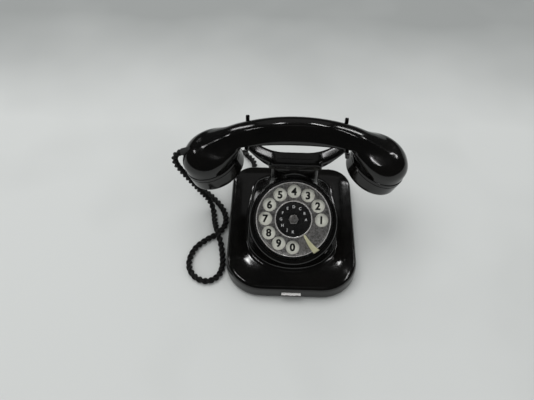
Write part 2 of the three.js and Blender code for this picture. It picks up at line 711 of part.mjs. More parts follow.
/** The governor's spindle with its pinion: a gap of the pinion faces a tooth of the dial gear. */
function governorPinion() {
  const gapFacing = GOVERNOR_ANGLE + HALF_TURN + HALF_TURN / PINION_TEETH;
  const [low, high] = [GEAR_BOTTOM - 0.4, GEAR_TOP + 0.4];
  const pinion = toothedWheel(PINION_TEETH, PINION_SHAFT_RADIUS / 2, low, high, gapFacing);
  const spindle = rod(PINION_SHAFT_RADIUS, CASE_BOTTOM - 0.6, NUMBER_PLATE_BOTTOM - CLEARANCE);
  return join(pinion, spindle);
}

/** The governor: a brake drum with two bob weights standing on it. */
function governorDrum() {
  const low = CASE_BOTTOM + CASE_WALL + CLEARANCE;
  const high = low + GOVERNOR_HEIGHT;
  const bore = PINION_SHAFT_RADIUS + CLEARANCE;
  const outer = GOVERNOR_RADIUS;
  const drum = turnedLoop([[bore, low], [outer, low], [outer, high], [bore, high]], COARSE);
  const bobs = [-1, 1].map((side) => block(
    BOB_WIDTH,
    BOB_LENGTH,
    BOB_HEIGHT,
    side * (GOVERNOR_RADIUS - BOB_WIDTH),
    0,
    high - CLEARANCE,
  ));
  return join(drum, ...bobs);
}

/** The flat return spring, seen as one ring round the spindle. */
function returnSpring() {
  const low = CASE_BOTTOM + CASE_WALL + CLEARANCE;
  const inner = DIAL_SHAFT_RADIUS + CLEARANCE;
  const outer = inner + SPRING_WIDTH;
  const high = low + SPRING_HEIGHT;
  return turnedLoop([[inner, low], [outer, low], [outer, high], [inner, high]], COARSE);
}

/** The pulse contacts: an insulating block with two long blades. */
function pulseContacts() {
  const low = CASE_BOTTOM + CASE_WALL + CLEARANCE;
  const insulator = block(INSULATOR_WIDTH, INSULATOR_LENGTH, INSULATOR_HEIGHT, 0, 0, low);
  const blades = [-1, 1].map((side) => block(
    BLADE_THICKNESS,
    CONTACT_BLADE_LENGTH,
    CONTACT_BLADE_HEIGHT,
    (side * CONTACT_BLADE_GAP) / 2,
    INSULATOR_LENGTH / 2,
    low + 1,
  ));
  return join(insulator, ...blades).rotateZ(FINGER_PITCH)
    .translate(CASE_CUP_RADIUS - INSULATOR_INSET, INSULATOR_Y, 0);
}

/** The finger stop: a foot on the rim of the case and a bent blade over the wheel, hollow to the finger. */
function fingerStop() {
  const footInner = WHEEL_RADIUS + 2 * CLEARANCE;
  const footOuter = CASE_RADIUS - 2 * CLEARANCE;
  const bladeLow = 1.5;
  const bladeHigh = bladeLow + STOP_THICKNESS;
  const side = new THREE.Shape();
  side.moveTo(footOuter, CASE_TOP + CLEARANCE);
  side.lineTo(footOuter, bladeHigh - 1.2);
  side.lineTo(footOuter - 1.2, bladeHigh);
  side.lineTo(STOP_REACH + 4, bladeHigh);
  side.lineTo(STOP_REACH, bladeHigh - 0.6);
  side.lineTo(STOP_REACH + 0.4, bladeLow);
  side.lineTo(footInner, bladeLow);
  side.lineTo(footInner, CASE_TOP + CLEARANCE);
  const strip = new THREE.ExtrudeGeometry(side, { depth: 2 * STOP_FOOT, bevelEnabled: false });
  const tip = STOP_TIP / 2;
  const foot = STOP_FOOT / 2;
  const bend = THREE.MathUtils.lerp(STOP_REACH, footOuter, 0.62);
  const plan = new THREE.Shape();
  plan.moveTo(STOP_REACH - 1, -tip);
  plan.quadraticCurveTo(bend, -foot, footOuter + 1, STOP_HOOK - foot);
  plan.lineTo(footOuter + 1, STOP_HOOK + foot);
  plan.quadraticCurveTo(bend, tip, STOP_REACH - 1, tip);
  const blade = common(strip.rotateX(QUARTER_TURN).translate(0, STOP_FOOT, 0), raised(plan, 8, CASE_TOP, 6));
  return blade.rotateZ(STOP_ANGLE);
}

place(dial, 'dial_case', dialCase(), plateSteel);
place(dial, 'number_plate', numberPlate(), enamel);
place(dial, 'finger_stop', fingerStop(), brass);
place(dial, 'finger_wheel', fingerWheel(), nickel);
place(dial, 'centre_label', centreLabel(), bakelite);
place(dial, 'label_ring', labelRing(), nickel);
place(dial, 'hub_nut', hubNut(), nickel);
place(dial, 'dial_shaft', dialShaft(), plateSteel);
place(dial, 'dial_gear', dialGear(), brass);
place(dial, 'return_spring', returnSpring(), plateSteel);
place(dial, 'pulse_contacts', pulseContacts(), waxedPaper);
const governorSpot = governorPlace();
for (const [name, geometry] of [['governor_pinion', governorPinion()], ['governor_drum', governorDrum()]]) {
  place(dial, name, geometry, brass).position.set(governorSpot.x, governorSpot.y, 0);
}

// ---------------------------------------------------------------- switch hook
const LEVER_TOP = LEVER_PIVOT_Z + LEVER_THICKNESS / 2;

/** A steel bracket with two ears that carry the lever's pin. */
function switchBracket() {
  const earX = LEVER_WIDTH / 2 + CLEARANCE + BRACKET_SHEET / 2;
  const earHeight = LEVER_PIVOT_Z + 2 * LEVER_PIN_RADIUS - ON_PLATE;
  const base = block(2 * earX + BRACKET_SHEET, BRACKET_DEPTH, BRACKET_SHEET, 0, LEVER_PIVOT_Y, ON_PLATE);
  const ear = (x) => block(BRACKET_SHEET, BRACKET_DEPTH, earHeight, x, LEVER_PIVOT_Y, ON_PLATE);
  const bore = rod(LEVER_PIN_RADIUS + CLEARANCE, -LEVER_WIDTH, LEVER_WIDTH)
    .rotateY(QUARTER_TURN).translate(0, LEVER_PIVOT_Y, LEVER_PIVOT_Z);
  return cut(join(base, ear(-earX), ear(earX)), bore);
}

function leverPin() {
  const half = LEVER_WIDTH / 2 + 2 * BRACKET_SHEET;
  return rod(LEVER_PIN_RADIUS, -half, half).rotateY(QUARTER_TURN).translate(0, LEVER_PIVOT_Y, LEVER_PIVOT_Z);
}

/** The hook lever: a plate from the pin to under the plunger, with an eye round the pin. */
function hookLever() {
  const eye = LEVER_PIN_RADIUS + CLEARANCE + LEVER_EYE_WALL;
  const under = LEVER_TOP - LEVER_THICKNESS;
  const root = eye - CLEARANCE;
  const arm = block(LEVER_WIDTH, LEVER_REACH - root, LEVER_THICKNESS, 0, (LEVER_REACH + root) / 2, under);
  const barrel = rod(eye, -LEVER_WIDTH / 2, LEVER_WIDTH / 2, COARSE).rotateY(QUARTER_TURN)
    .translate(0, 0, LEVER_PIVOT_Z);
  const bore = rod(LEVER_PIN_RADIUS + CLEARANCE, -LEVER_WIDTH, LEVER_WIDTH).rotateY(QUARTER_TURN)
    .translate(0, 0, LEVER_PIVOT_Z);
  return cut(join(barrel, arm), bore).translate(0, LEVER_PIVOT_Y, 0);
}

/** The pile of contact springs that the lever works, on a post beside the bracket. */
function contactPile() {
  const top = LEVER_PIVOT_Z - PILE_DROP;
  const y = LEVER_PIVOT_Y + PILE_DEPTH / 2;
  const post = block(PILE_WIDTH, PILE_DEPTH, top - ON_PLATE, -PILE_SPACING, y, ON_PLATE);
  const blades = Array.from({ length: PILE_BLADES }, (_, level) => block(
    BLADE_WIDTH,
    BLADE_LENGTH,
    BLADE_THICKNESS,
    -PILE_SPACING,
    y + BLADE_LENGTH / 2 - 2,
    top - 2 - BLADE_PITCH * level,
  ));
  return join(post, ...blades);
}

place(telephone, 'switch_bracket', switchBracket(), plateSteel);
place(telephone, 'lever_pin', leverPin(), plateSteel);
place(telephone, 'hook_lever', hookLever(), plateSteel);
place(telephone, 'contact_springs', contactPile(), brass);

// ---------------------------------------------------------------- ringer
const GONG_X = GONG_RADIUS + CLAPPER_BALL + CLAPPER_STROKE + CLEARANCE;
const GONG_BOTTOM = ON_PLATE + 0.9;
const ARMATURE_PIN_RADIUS = 1.2;

/** The ringer's yoke: a floor with a front wall for the coils and a tail for the armature's pin. */
function ringerYoke() {
  const wall = 2;
  const width = COIL_SPACING + 2 * COIL_RADIUS;
  const height = COIL_Z + COIL_RADIUS - ON_PLATE;
  const front = COIL_FRONT - CLEARANCE - wall / 2;
  const back = ARMATURE_Y + 4;
  const floor = block(width, COIL_BACK - front, BRACKET_SHEET, 0, (COIL_BACK + front) / 2, ON_PLATE);
  const tail = block(YOKE_TAIL, back - COIL_FRONT, BRACKET_SHEET, 0, (back + COIL_FRONT) / 2, ON_PLATE);
  const upright = block(width, wall, height, 0, front, ON_PLATE);
  const pinTop = COIL_Z + ARMATURE_HEIGHT / 2 + 1.5;
  const pin = rod(ARMATURE_PIN_RADIUS, ON_PLATE, pinTop).translate(0, ARMATURE_Y, 0);
  return join(floor, tail, upright, pin);
}

/** A bobbin with flanges and its winding, lying along Y, with the pole piece at its back. */
function ringerCoil() {
  const windingRadius = COIL_RADIUS - COIL_CHEEK;
  const cheekStart = COIL_LENGTH - COIL_CHEEK;
  return turned([
    [0, 0], [COIL_RADIUS, 0], [COIL_RADIUS, COIL_CHEEK], [windingRadius, COIL_CHEEK],
    [windingRadius, cheekStart], [COIL_RADIUS, cheekStart], [COIL_RADIUS, COIL_LENGTH],
    [COIL_POLE, COIL_LENGTH], [COIL_POLE, COIL_LENGTH + 0.8], [0, COIL_LENGTH + 0.8],
  ], COARSE).rotateX(-QUARTER_TURN);
}

/** The rocking armature with the clapper's wire. */
function clapperArm() {
  const low = COIL_Z - ARMATURE_HEIGHT / 2;
  const bar = block(ARMATURE_WIDTH, ARMATURE_SHEET, ARMATURE_HEIGHT, 0, 0, low);
  const eye = rod(ARMATURE_PIN_RADIUS + CLEARANCE + 1.3, low, low + ARMATURE_HEIGHT);
  const bore = rod(ARMATURE_PIN_RADIUS + CLEARANCE, low - PIERCE, low + ARMATURE_HEIGHT + PIERCE);
  const wireZ = GONG_BOTTOM + GONG_HEIGHT / 2 + 1;
  const wireStart = ARMATURE_PIN_RADIUS + CLEARANCE + 0.8;
  const wireEnd = CLAPPER_LENGTH - CLAPPER_BALL - CLEARANCE;
  const wire = rod(1, wireStart, wireEnd, 8).rotateX(-QUARTER_TURN).translate(0, 0, wireZ + 1.6);
  return cut(join(bar, eye, wire), bore);
}

function clapperBall() {
  const ball = new THREE.SphereGeometry(CLAPPER_BALL, SMALL, 8);
  return weld(ball);
}

/** A shallow bell metal cup, mouth down, with a hole for its screw. */
function gong() {
  const top = GONG_HEIGHT;
  const hole = GONG_SCREW_RADIUS + CLEARANCE;
  const rim = GONG_RADIUS - GONG_WALL;
  return turnedLoop([
    [rim, 0], [GONG_RADIUS, 0], [GONG_RADIUS * 0.98, top * 0.45], [GONG_RADIUS * 0.88, top * 0.8],
    [GONG_RADIUS * 0.65, top], [hole, top], [hole, top - GONG_WALL], [GONG_RADIUS * 0.63, top - GONG_WALL],
    [GONG_RADIUS * 0.82, top * 0.7], [rim - 0.3, top * 0.4],
  ], COARSE + 4).translate(0, 0, GONG_BOTTOM);
}

/** Post and screw in one: the post carries the gong from below, the head holds it from above. */
function gongPost() {
  const seat = GONG_BOTTOM + GONG_HEIGHT - GONG_WALL - CLEARANCE;
  const head = GONG_BOTTOM + GONG_HEIGHT + CLEARANCE;
  return turned([
    [0, ON_PLATE], [GONG_POST_RADIUS, ON_PLATE], [GONG_POST_RADIUS, seat], [GONG_SCREW_RADIUS, seat],
    [GONG_SCREW_RADIUS, head], [GONG_POST_RADIUS, head], [GONG_POST_RADIUS - 0.5, head + 1], [0, head + 1],
  ], SMALL);
}

place(telephone, 'ringer_yoke', ringerYoke(), plateSteel);
place(telephone, 'clapper_arm', clapperArm(), plateSteel).position.set(0, ARMATURE_Y, 0);
place(telephone, 'clapper_ball', clapperBall(), brass)
  .position.set(0, BALL_Y, GONG_BOTTOM + GONG_HEIGHT / 2 + 2.6);
for (const [side, sign] of [['left', -1], ['right', 1]]) {
  place(telephone, `ringer_coil_${side}`, ringerCoil(), winding)
    .position.set((sign * COIL_SPACING) / 2, COIL_FRONT, COIL_Z);
  place(telephone, `gong_${side}`, gong(), brass).position.set(sign * GONG_X, BALL_Y, 0);
  place(telephone, `gong_post_${side}`, gongPost(), nickel).position.set(sign * GONG_X, BALL_Y, 0);
}

// ---------------------------------------------------------------- electrical pieces on the plate
const LEVER_FRONT = LEVER_PIVOT_Y - BRACKET_DEPTH / 2;
const SPARE_DEPTH = LEVER_FRONT - CATCH_TAIL - CAPACITOR_DEPTH - 2 * INDUCTION_RADIUS;
const CAPACITOR_Y = CATCH_TAIL + SPARE_DEPTH / 3 + CAPACITOR_DEPTH / 2;
const INDUCTION_Y = LEVER_FRONT - SPARE_DEPTH / 3 - INDUCTION_RADIUS;

/** A bobbin lying along X on two feet. */
function inductionCoil() {
  const half = INDUCTION_LENGTH / 2;
  const cheekStart = half - INDUCTION_CHEEK;
  const windingRadius = INDUCTION_RADIUS - 1.4;
  const bobbin = turned([
    [0, -half], [INDUCTION_RADIUS, -half], [INDUCTION_RADIUS, -cheekStart], [windingRadius, -cheekStart],
    [windingRadius, cheekStart], [INDUCTION_RADIUS, cheekStart], [INDUCTION_RADIUS, half], [0, half],
  ], COARSE).rotateY(QUARTER_TURN).translate(0, 0, ON_PLATE + INDUCTION_RADIUS + INDUCTION_CHEEK);
  const feet = [-1, 1].map((side) => block(
    INDUCTION_CHEEK,
    INDUCTION_FOOT,
    INDUCTION_FOOT / 2,
    side * (half - INDUCTION_CHEEK / 2),
    0,
    ON_PLATE,
  ));
  return join(bobbin, ...feet);
}

function capacitor() {
  const shape = roundedRectangle(CAPACITOR_WIDTH / 2, CAPACITOR_DEPTH / 2, CAPACITOR_CORNER);
  const can = raised(shape, CAPACITOR_HEIGHT, ON_PLATE, 3);
  const top = ON_PLATE + CAPACITOR_HEIGHT;
  const tag = (x) => block(TAG_WIDTH, 1, TAG_HEIGHT + 1, x, 0, top - 1);
  return join(can, tag(-CAPACITOR_WIDTH / 6), tag(CAPACITOR_WIDTH / 6));
}

/** The strip of screw terminals. */
function terminalStrip() {
  const strip = block(TERMINAL_WIDTH, TERMINAL_LENGTH, TERMINAL_HEIGHT, 0, 0, ON_PLATE);
  const top = ON_PLATE + TERMINAL_HEIGHT;
  const pitch = TERMINAL_LENGTH / TERMINAL_SCREWS;
  const screws = Array.from({ length: TERMINAL_SCREWS }, (_, step) => rod(
    TERMINAL_SCREW_RADIUS,
    top - 1,
    top + TERMINAL_SCREW_HEIGHT,
    8,
  ).translate(0, (step + 0.5) * pitch - TERMINAL_LENGTH / 2, 0));
  return join(strip, ...screws);
}

place(telephone, 'induction_coil', inductionCoil(), winding).position.set(0, INDUCTION_Y, 0);
place(telephone, 'capacitor', capacitor(), waxedPaper).position.set(0, CAPACITOR_Y, 0);
place(telephone, 'terminal_strip', terminalStrip(), bakelite)
  .position.set(PAN_WIDTH / 2 - TERMINAL_INSET, LEVER_PIVOT_Y, 0);

// ---------------------------------------------------------------- cradle
/** Slices of the cradle from its middle to a yoke: x, underside, top, half depth and middle. */
function wingSections() {
  const hubTop = NECK_TOP + CRADLE_SADDLE;
  const hubUnder = NECK_TOP + CRADLE_GAP;
  const tipTop = HANDLE_UNDER - CLEARANCE - 1.2;
  const tipX = YOKE_X + YOKE_WIDTH / 2;
  const shares = [0, 0.2, 0.35, 0.5, 0.6, 0.7, 0.8, 0.9, 1];
  return shares.map((share) => {
    const x = share * tipX;
    const rise = Math.max(0, (x - SADDLE_FLAT) / (tipX - SADDLE_FLAT)) ** 1.8;
    const lift = Math.max(0, (x - HALF_NECK) / (tipX - HALF_NECK)) ** 1.35;
    return {
      x,
      under: hubUnder + (tipTop - 3.6 - hubUnder) * lift,
      top: hubTop + (tipTop - hubTop) * rise,
      half: NECK_HALF_DEPTH - 1.4 * lift,
      y: NECK_Y + (HANDSET_Y - NECK_Y) * lift,
    };
  });
}

function wingRing({ x, under, top, half, y }) {
  const middle = (under + top) / 2;
  const halfHeight = (top - under) / 2;
  return Array.from({ length: COARSE }, (_, step) => {
    const angle = (step / COARSE) * FULL_TURN;
    const reach = superReach(half, halfHeight, 5, angle);
    return new THREE.Vector3(x, y + reach * Math.cos(angle), middle + reach * Math.sin(angle));
  });
}

/** The yoke at a wing's end: a seat under the handle, a short front horn and a long rear horn. */
function yokeOutline() {
  const front = HANDSET_Y - HANDLE_HALF_WIDTH - YOKE_ROOM;
  const back = HANDSET_Y + HANDLE_HALF_WIDTH + YOKE_ROOM;
  const seat = HANDLE_UNDER - CLEARANCE;
  const under = seat - 5;
  const tip = HORN_THICKNESS / 2;
  const shape = new THREE.Shape();
  shape.moveTo(front - HORN_THICKNESS + 3, under);
  shape.lineTo(back + HORN_THICKNESS - 3, under);
  shape.quadraticCurveTo(back + HORN_THICKNESS, under, back + HORN_THICKNESS, seat);
  shape.lineTo(back + HORN_THICKNESS, seat + REAR_HORN - tip);
  shape.absarc(back + tip, seat + REAR_HORN - tip, tip, 0, HALF_TURN);
  shape.lineTo(back, seat + 5);
  shape.quadraticCurveTo(back, seat, back - 5, seat);
  shape.lineTo(front + 4, seat);
  shape.quadraticCurveTo(front, seat, front, seat + FRONT_HORN - tip);
  shape.absarc(front - tip, seat + FRONT_HORN - tip, tip, 0, HALF_TURN);
  shape.quadraticCurveTo(front - HORN_THICKNESS, under, front - HORN_THICKNESS + 3, under);
  return shape;
}

/** The block in front of the saddle, with round upper corners. */
function hubBlock() {
  const half = HUB_WIDTH / 2;
  const low = NECK_TOP + CRADLE_GAP;
  const high = NECK_TOP + HUB_HEIGHT;
  const shape = new THREE.Shape();
  shape.moveTo(-half, low);
  shape.lineTo(half, low);
  shape.absarc(half - HUB_CORNER, high - HUB_CORNER, HUB_CORNER, 0, QUARTER_TURN);
  shape.absarc(HUB_CORNER - half, high - HUB_CORNER, HUB_CORNER, QUARTER_TURN, HALF_TURN);
  return new THREE.ExtrudeGeometry(shape, { depth: HUB_DEPTH, bevelEnabled: false, curveSegments: 5 })
    .rotateX(QUARTER_TURN).translate(0, HUB_FRONT + HUB_DEPTH, 0);
}

function cradleFork() {
  const right = wingSections();
  const left = right.slice(1).reverse().map((section) => ({ ...section, x: -section.x }));
  const wings = loft([...left, ...right].map(wingRing));
  const yokes = [-YOKE_X, YOKE_X].map((x) => sweptAcross(yokeOutline(), YOKE_WIDTH, x, 5));
  const inset = HOUSING_WALL + CLEARANCE + 0.2;
  const skirtRing = (z) => ringOf(
    COARSE,
    NECK_Y,
    (angle) => superReach(HALF_NECK - inset, NECK_HALF_DEPTH - inset, 5, angle),
    () => z,
  );
  const hubUnder = NECK_TOP + CRADLE_GAP;
  const skirt = loft([skirtRing(hubUnder - CRADLE_SKIRT), skirtRing(hubUnder + 2)]);
  return join(wings, hubBlock(), skirt, ...yokes);
}

/** The steel plunger between the cradle's skirt and the hook lever. */
function cradlePlunger() {
  const high = NECK_TOP + CRADLE_GAP - CRADLE_SKIRT - CLEARANCE;
  const low = LEVER_TOP + CLEARANCE;
  return turned([
    [0, low], [PLUNGER_TIP, low], [PLUNGER_RADIUS, low + PLUNGER_TAPER], [PLUNGER_RADIUS, high - 2],
    [PLUNGER_RADIUS + 1.5, high - 2], [PLUNGER_RADIUS + 1.5, high], [0, high],
  ], SMALL);
}

place(telephone, 'cradle_fork', cradleFork(), bakelite);
place(telephone, 'cradle_plunger', cradlePlunger(), plateSteel).position.set(0, NECK_Y, 0);

// ---------------------------------------------------------------- handset
// Right-hand cup: the axis leans outwards going up, and the cap closes it from below.
const CUP_UP = new THREE.Vector2(Math.sin(CUP_TILT), Math.cos(CUP_TILT));
const CUP_OUT = new THREE.Vector2(Math.cos(CUP_TILT), -Math.sin(CUP_TILT));
const CUP_FACE = new THREE.Vector2(HALF_CUPS, CUP_FACE_Z);
const SHELL_EDGE_RADIUS = CAP_RADIUS - 0.4;
const SHELL_NECK_RADIUS = CAP_RADIUS - CAP_SIDE - CLEARANCE;
const CAPSULE_RADIUS = SHELL_NECK_RADIUS - CAPSULE_MARGIN;
const SHELL_JOINT = CAP_HEIGHT + CLEARANCE;
const HANDLE_END = YOKE_X + YOKE_WIDTH / 2;
const CUP_TURN = THREE.MathUtils.degToRad(80); // how far the half width turns from cup to handle

/** A point in the cup's own plane: out from the axis, and up from the cap's face. */
const cupPoint = (out, up) => CUP_FACE.clone().addScaledVector(CUP_OUT, out).addScaledVector(CUP_UP, up);

/** The top of the arched handle at a distance from the middle. */
const archTop = (x) => HANDLE_UNDER + HANDLE_HEIGHT - ARCH_RADIUS + Math.sqrt(ARCH_RADIUS ** 2 - x ** 2);

/** The hollow curve under the handset, from the cap's inner edge up to the handle's end. */
function innerBend(share) {
  const start = cupPoint(-SHELL_EDGE_RADIUS, SHELL_JOINT);
  return new THREE.Vector2(
    THREE.MathUtils.lerp(start.x, HANDLE_END, share),
    THREE.MathUtils.lerp(start.y, HANDLE_UNDER, share ** 0.8),
  );
}

/** The round shoulder over the cup, from the cap's outer edge up to the cup's axis. */
function shoulder(share) {
  const power = 2 / CUP_SQUARENESS;
  const out = SHELL_EDGE_RADIUS * Math.cos(share * QUARTER_TURN) ** power;
  return cupPoint(share < 1 ? out : 0, SHELL_JOINT + CUP_DOME * Math.sin(share * QUARTER_TURN) ** power);
}

/** Half of the handset as slices, each from an inner point to an outer point of the side view. */
function handsetSlices() {
  const cup = [0, 0.25, 0.5, 0.75, 1].map((share) => ({
    start: innerBend(0.8 * share),
    end: shoulder(share),
    half: THREE.MathUtils.lerp(HANDLE_HALF_WIDTH, SHELL_EDGE_RADIUS, Math.cos(0.8 * share * CUP_TURN)),
    power: 2 + 0.3 * share,
  }));
  const handle = [1, 0.8, 0.58, 0.29, 0].map((share) => {
    const x = HALF_CUPS * share ** 1.07;
    return {
      start: new THREE.Vector2(HANDLE_END * share, HANDLE_UNDER),
      end: new THREE.Vector2(x, archTop(x)),
      half: HANDLE_HALF_WIDTH + HANDLE_SPREAD * share ** 3,
      power: 2.4,
    };
  });
  return [...cup, ...handle];
}

function sliceRing({ start, end, half, power }, side) {
  const middle = start.clone().add(end).divideScalar(2);
  const spine = end.clone().sub(start);
  const halfSpine = spine.length() / 2;
  spine.normalize();
  return Array.from({ length: MEDIUM }, (_, step) => {
    const angle = (step / MEDIUM) * FULL_TURN;
    const reach = superReach(half, halfSpine, power, angle);
    const rise = reach * Math.sin(angle);
    return new THREE.Vector3(
      side * (middle.x + spine.x * rise),
      HANDSET_Y + reach * Math.cos(angle),
      middle.y + spine.y * rise,
    );
  });
}

/** Moves a piece built on the cap's axis, face at z = 0, to one end of the handset. */
function atCup(geometry, side) {
  return geometry.rotateY(side * CUP_TILT).translate(side * HALF_CUPS, HANDSET_Y, CUP_FACE_Z);
}

function handsetShell() {
  const slices = handsetSlices();
  const left = slices.map((slice) => sliceRing(slice, -1));
  const right = slices.slice(0, -1).reverse().map((slice) => sliceRing(slice, 1));
  const neckBottom = SHELL_JOINT - SHELL_NECK_LENGTH;
  const necks = [-1, 1].map((side) => atCup(
    rod(SHELL_NECK_RADIUS, neckBottom, CAP_HEIGHT + PIERCE, MEDIUM),
    side,
  ));
  const wells = [-1, 1].map((side) => atCup(
    rod(SHELL_NECK_RADIUS - SHELL_WALL, neckBottom - PIERCE, SHELL_JOINT + SHELL_NECK_LENGTH / 2, MEDIUM),
    side,
  ));
  return cut(join(loft([...left, ...right]), ...necks), ...wells, handsetGlandBore());
}

/** A screw cap: rounded edge, knurl-free side, and a face with sound holes. */
function soundCap(side) {
  const inner = SHELL_NECK_RADIUS + CLEARANCE;
  const dish = CAP_RADIUS - CAP_DISH;
  const round = quarterRound(CAP_ROUND, 3).map(([inset, rise]) => [CAP_RADIUS - CAP_ROUND + rise, inset]);
  const cap = turned([
    [0, 1], [dish, 1], [dish + CAP_DISH_SLOPE, 0], ...round, [CAP_RADIUS, CAP_HEIGHT],
    [inner, CAP_HEIGHT], [inner, CAP_WALL + 0.6], [0, CAP_WALL + 0.6],
  ], MEDIUM);
  const holes = Array.from({ length: SOUND_HOLES + 1 }, (_, step) => {
    const angle = (step / SOUND_HOLES) * FULL_TURN;
    const circle = step < SOUND_HOLES ? SOUND_CIRCLE : 0;
    return rod(SOUND_HOLE_RADIUS, -PIERCE, CAP_WALL + PIERCE, 8)
      .translate(circle * Math.cos(angle), circle * Math.sin(angle), 0);
  });
  return atCup(cut(cap, ...holes), side);
}

/** The capsule that lies in a cap, under the shell's threaded neck. */
function soundCapsule(side) {
  const low = CAP_WALL + 0.6 + CLEARANCE;
  const high = low + CAPSULE_HEIGHT;
  return atCup(turned([
    [0, low], [CAPSULE_RADIUS - 4, low], [CAPSULE_RADIUS, low + 1.5], [CAPSULE_RADIUS, high],
    [CAPSULE_RADIUS - 5, high + 1.5], [0, high + 1.5],
  ], COARSE), side);
}

// The cord leaves the mouthpiece end of the handset outwards and a little down.
const CORD_EXIT = new THREE.Vector3(-118, HANDSET_Y, 101);
const CORD_EXIT_SLOPE = THREE.MathUtils.degToRad(21.8);

/** Lays a piece that is turned about Z on the cord's exit, its +Z pointing out along the cord. */
function atExit(geometry) {
  return geometry.rotateY(-QUARTER_TURN - CORD_EXIT_SLOPE).translate(...CORD_EXIT.toArray());
}

function handsetGlandBore() {
  return atExit(rod(CORD_RADIUS + 1 + CLEARANCE, -HANDSET_GLAND_LENGTH - PIERCE, PIERCE, COARSE));
}

function handsetGland() {
  const stem = CORD_RADIUS + 1;
  return atExit(turned([
    [0, -HANDSET_GLAND_LENGTH], [stem, -HANDSET_GLAND_LENGTH], [stem, -1.5],
    [stem - 0.7, -CLEARANCE], [0, -CLEARANCE],
  ], COARSE));
}

place(telephone, 'handset_shell', handsetShell(), bakelite);
for (const [name, side] of [['mouthpiece', -1], ['earpiece', 1]]) {
  place(telephone, `${name}_cap`, soundCap(side), bakelite);
  place(telephone, `${name}_capsule`, soundCapsule(side), nickel);
}
place(telephone, 'handset_cord_gland', handsetGland(), rubber);

// ---------------------------------------------------------------- handset cord
// From the handset's end it hangs to the table, loops beside the base and goes in at the rear.
const ON_TABLE = CORD_RADIUS + 0.2;
const CORD_SIDES = 8;
const CORD_STEPS = 64;
const CORD_ROUTE = [
  [-118.0, 26.0, 101.0], [-120.4, 26.0, 99.8], [-122.8, 26.0, 97.6], [-124.8, 26.0, 94.2],
  [-125.5, 26.0, 89.8], [-125.0, 26.1, 84.6], [-122.4, 26.5, 76.4], [-117.2, 27.6, 63.6],
  [-109.6, 29.2, 46.6], [-101.8, 31.2, 29.0], [-96.6, 32.4, 17.6], [-93.6, 31.4, 10.2],
  [-91.2, 28.0, 5.6], [-89.4, 22.4, 3.3], [-86.9, 8.0, 4.2], [-83.6, -4.4, 8.6],
  [-80.2, -14.6, 9.0], [-76.6, -26.6, 4.6], [-74.6, -38.0, ON_TABLE], [-74.0, -50.0, ON_TABLE],
  [-77.6, -61.6, ON_TABLE], [-87.4, -68.4, ON_TABLE], [-99.4, -65.8, ON_TABLE], [-108.6, -55.0, ON_TABLE],
  [-110.0, -41.0, ON_TABLE], [-104.6, -26.6, ON_TABLE], [-93.8, -15.6, ON_TABLE], [-81.6, -6.6, ON_TABLE],
  [-76.0, 2.6, ON_TABLE], [-74.6, 13.0, ON_TABLE], [-79.0, 27.0, ON_TABLE], [-91.6, 43.4, ON_TABLE],
  [-106.4, 58.6, ON_TABLE], [-110.6, 78.0, ON_TABLE], [-102.4, 101.4, ON_TABLE], [-83.4, 119.8, ON_TABLE],
  [-63.6, 119.8, ON_TABLE], [-50.8, 107.4, 4.4], [-45.8, 96.8, 7.0], [-GLAND_X, 88.3, GLAND_Z],
];

function handsetCord() {
  const route = CORD_ROUTE.map((point) => new THREE.Vector3(...point));
  const path = new THREE.CatmullRomCurve3(route, false, 'centripetal');
  const section = outline(Array.from({ length: CORD_SIDES }, (_, step) => {
    const angle = ((step + 0.5) / CORD_SIDES) * FULL_TURN;
    return [CORD_RADIUS * Math.cos(angle), CORD_RADIUS * Math.sin(angle)];
  }));
  return new THREE.ExtrudeGeometry(section, { steps: CORD_STEPS, extrudePath: path, bevelEnabled: false });
}

place(telephone, 'handset_cord', handsetCord(), textile);

export default telephone;
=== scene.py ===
"""The looks of a black desk telephone: polished mouldings, a nickel dial and a braided cord."""

import logging
import math
from dataclasses import dataclass
from enum import Enum
from typing import Callable, Iterable, Sequence

import bmesh
import bpy
import numpy as np
from mathutils import Matrix, Vector
from mathutils.bvhtree import BVHTree


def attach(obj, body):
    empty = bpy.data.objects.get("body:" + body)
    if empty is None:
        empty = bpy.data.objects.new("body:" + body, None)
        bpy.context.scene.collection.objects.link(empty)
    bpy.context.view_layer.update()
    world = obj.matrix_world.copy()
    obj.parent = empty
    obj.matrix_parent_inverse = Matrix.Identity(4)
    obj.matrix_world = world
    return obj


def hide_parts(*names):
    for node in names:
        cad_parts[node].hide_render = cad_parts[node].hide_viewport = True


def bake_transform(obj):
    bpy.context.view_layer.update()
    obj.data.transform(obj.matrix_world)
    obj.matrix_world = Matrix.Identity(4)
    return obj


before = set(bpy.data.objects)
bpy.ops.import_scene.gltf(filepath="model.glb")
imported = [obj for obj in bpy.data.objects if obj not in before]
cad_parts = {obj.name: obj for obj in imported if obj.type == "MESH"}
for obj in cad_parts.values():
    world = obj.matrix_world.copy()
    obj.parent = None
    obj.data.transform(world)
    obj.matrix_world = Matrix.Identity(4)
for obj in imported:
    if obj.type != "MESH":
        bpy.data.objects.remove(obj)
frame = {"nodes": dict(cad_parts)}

Object = bpy.types.Object
Material = bpy.types.Material
Socket = bpy.types.NodeSocket
Point = tuple[float, float]
Place = tuple[float, float, float]
Colour = tuple[float, float, float, float]
Inputs = dict[int | str, object]

LOG = logging.getLogger("telephone")
MM = 0.001
FULL_TURN = 2 * math.pi
QUARTER_TURN = math.pi / 2
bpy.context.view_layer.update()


class Body(Enum):
    """The rigid bodies that the scene's own pieces ride on."""

    BASE = "base"
    DIAL = "dial"
    CRADLE = "cradle"
    HANDSET = "handset"


class Slot(Enum):
    """The finishes that pieces stand for."""

    MOULDING = "bakelite"
    NICKEL = "nickel"
    BLACK = "black_enamel"
    WHITE = "white_enamel"
    TEXTILE = "textile"


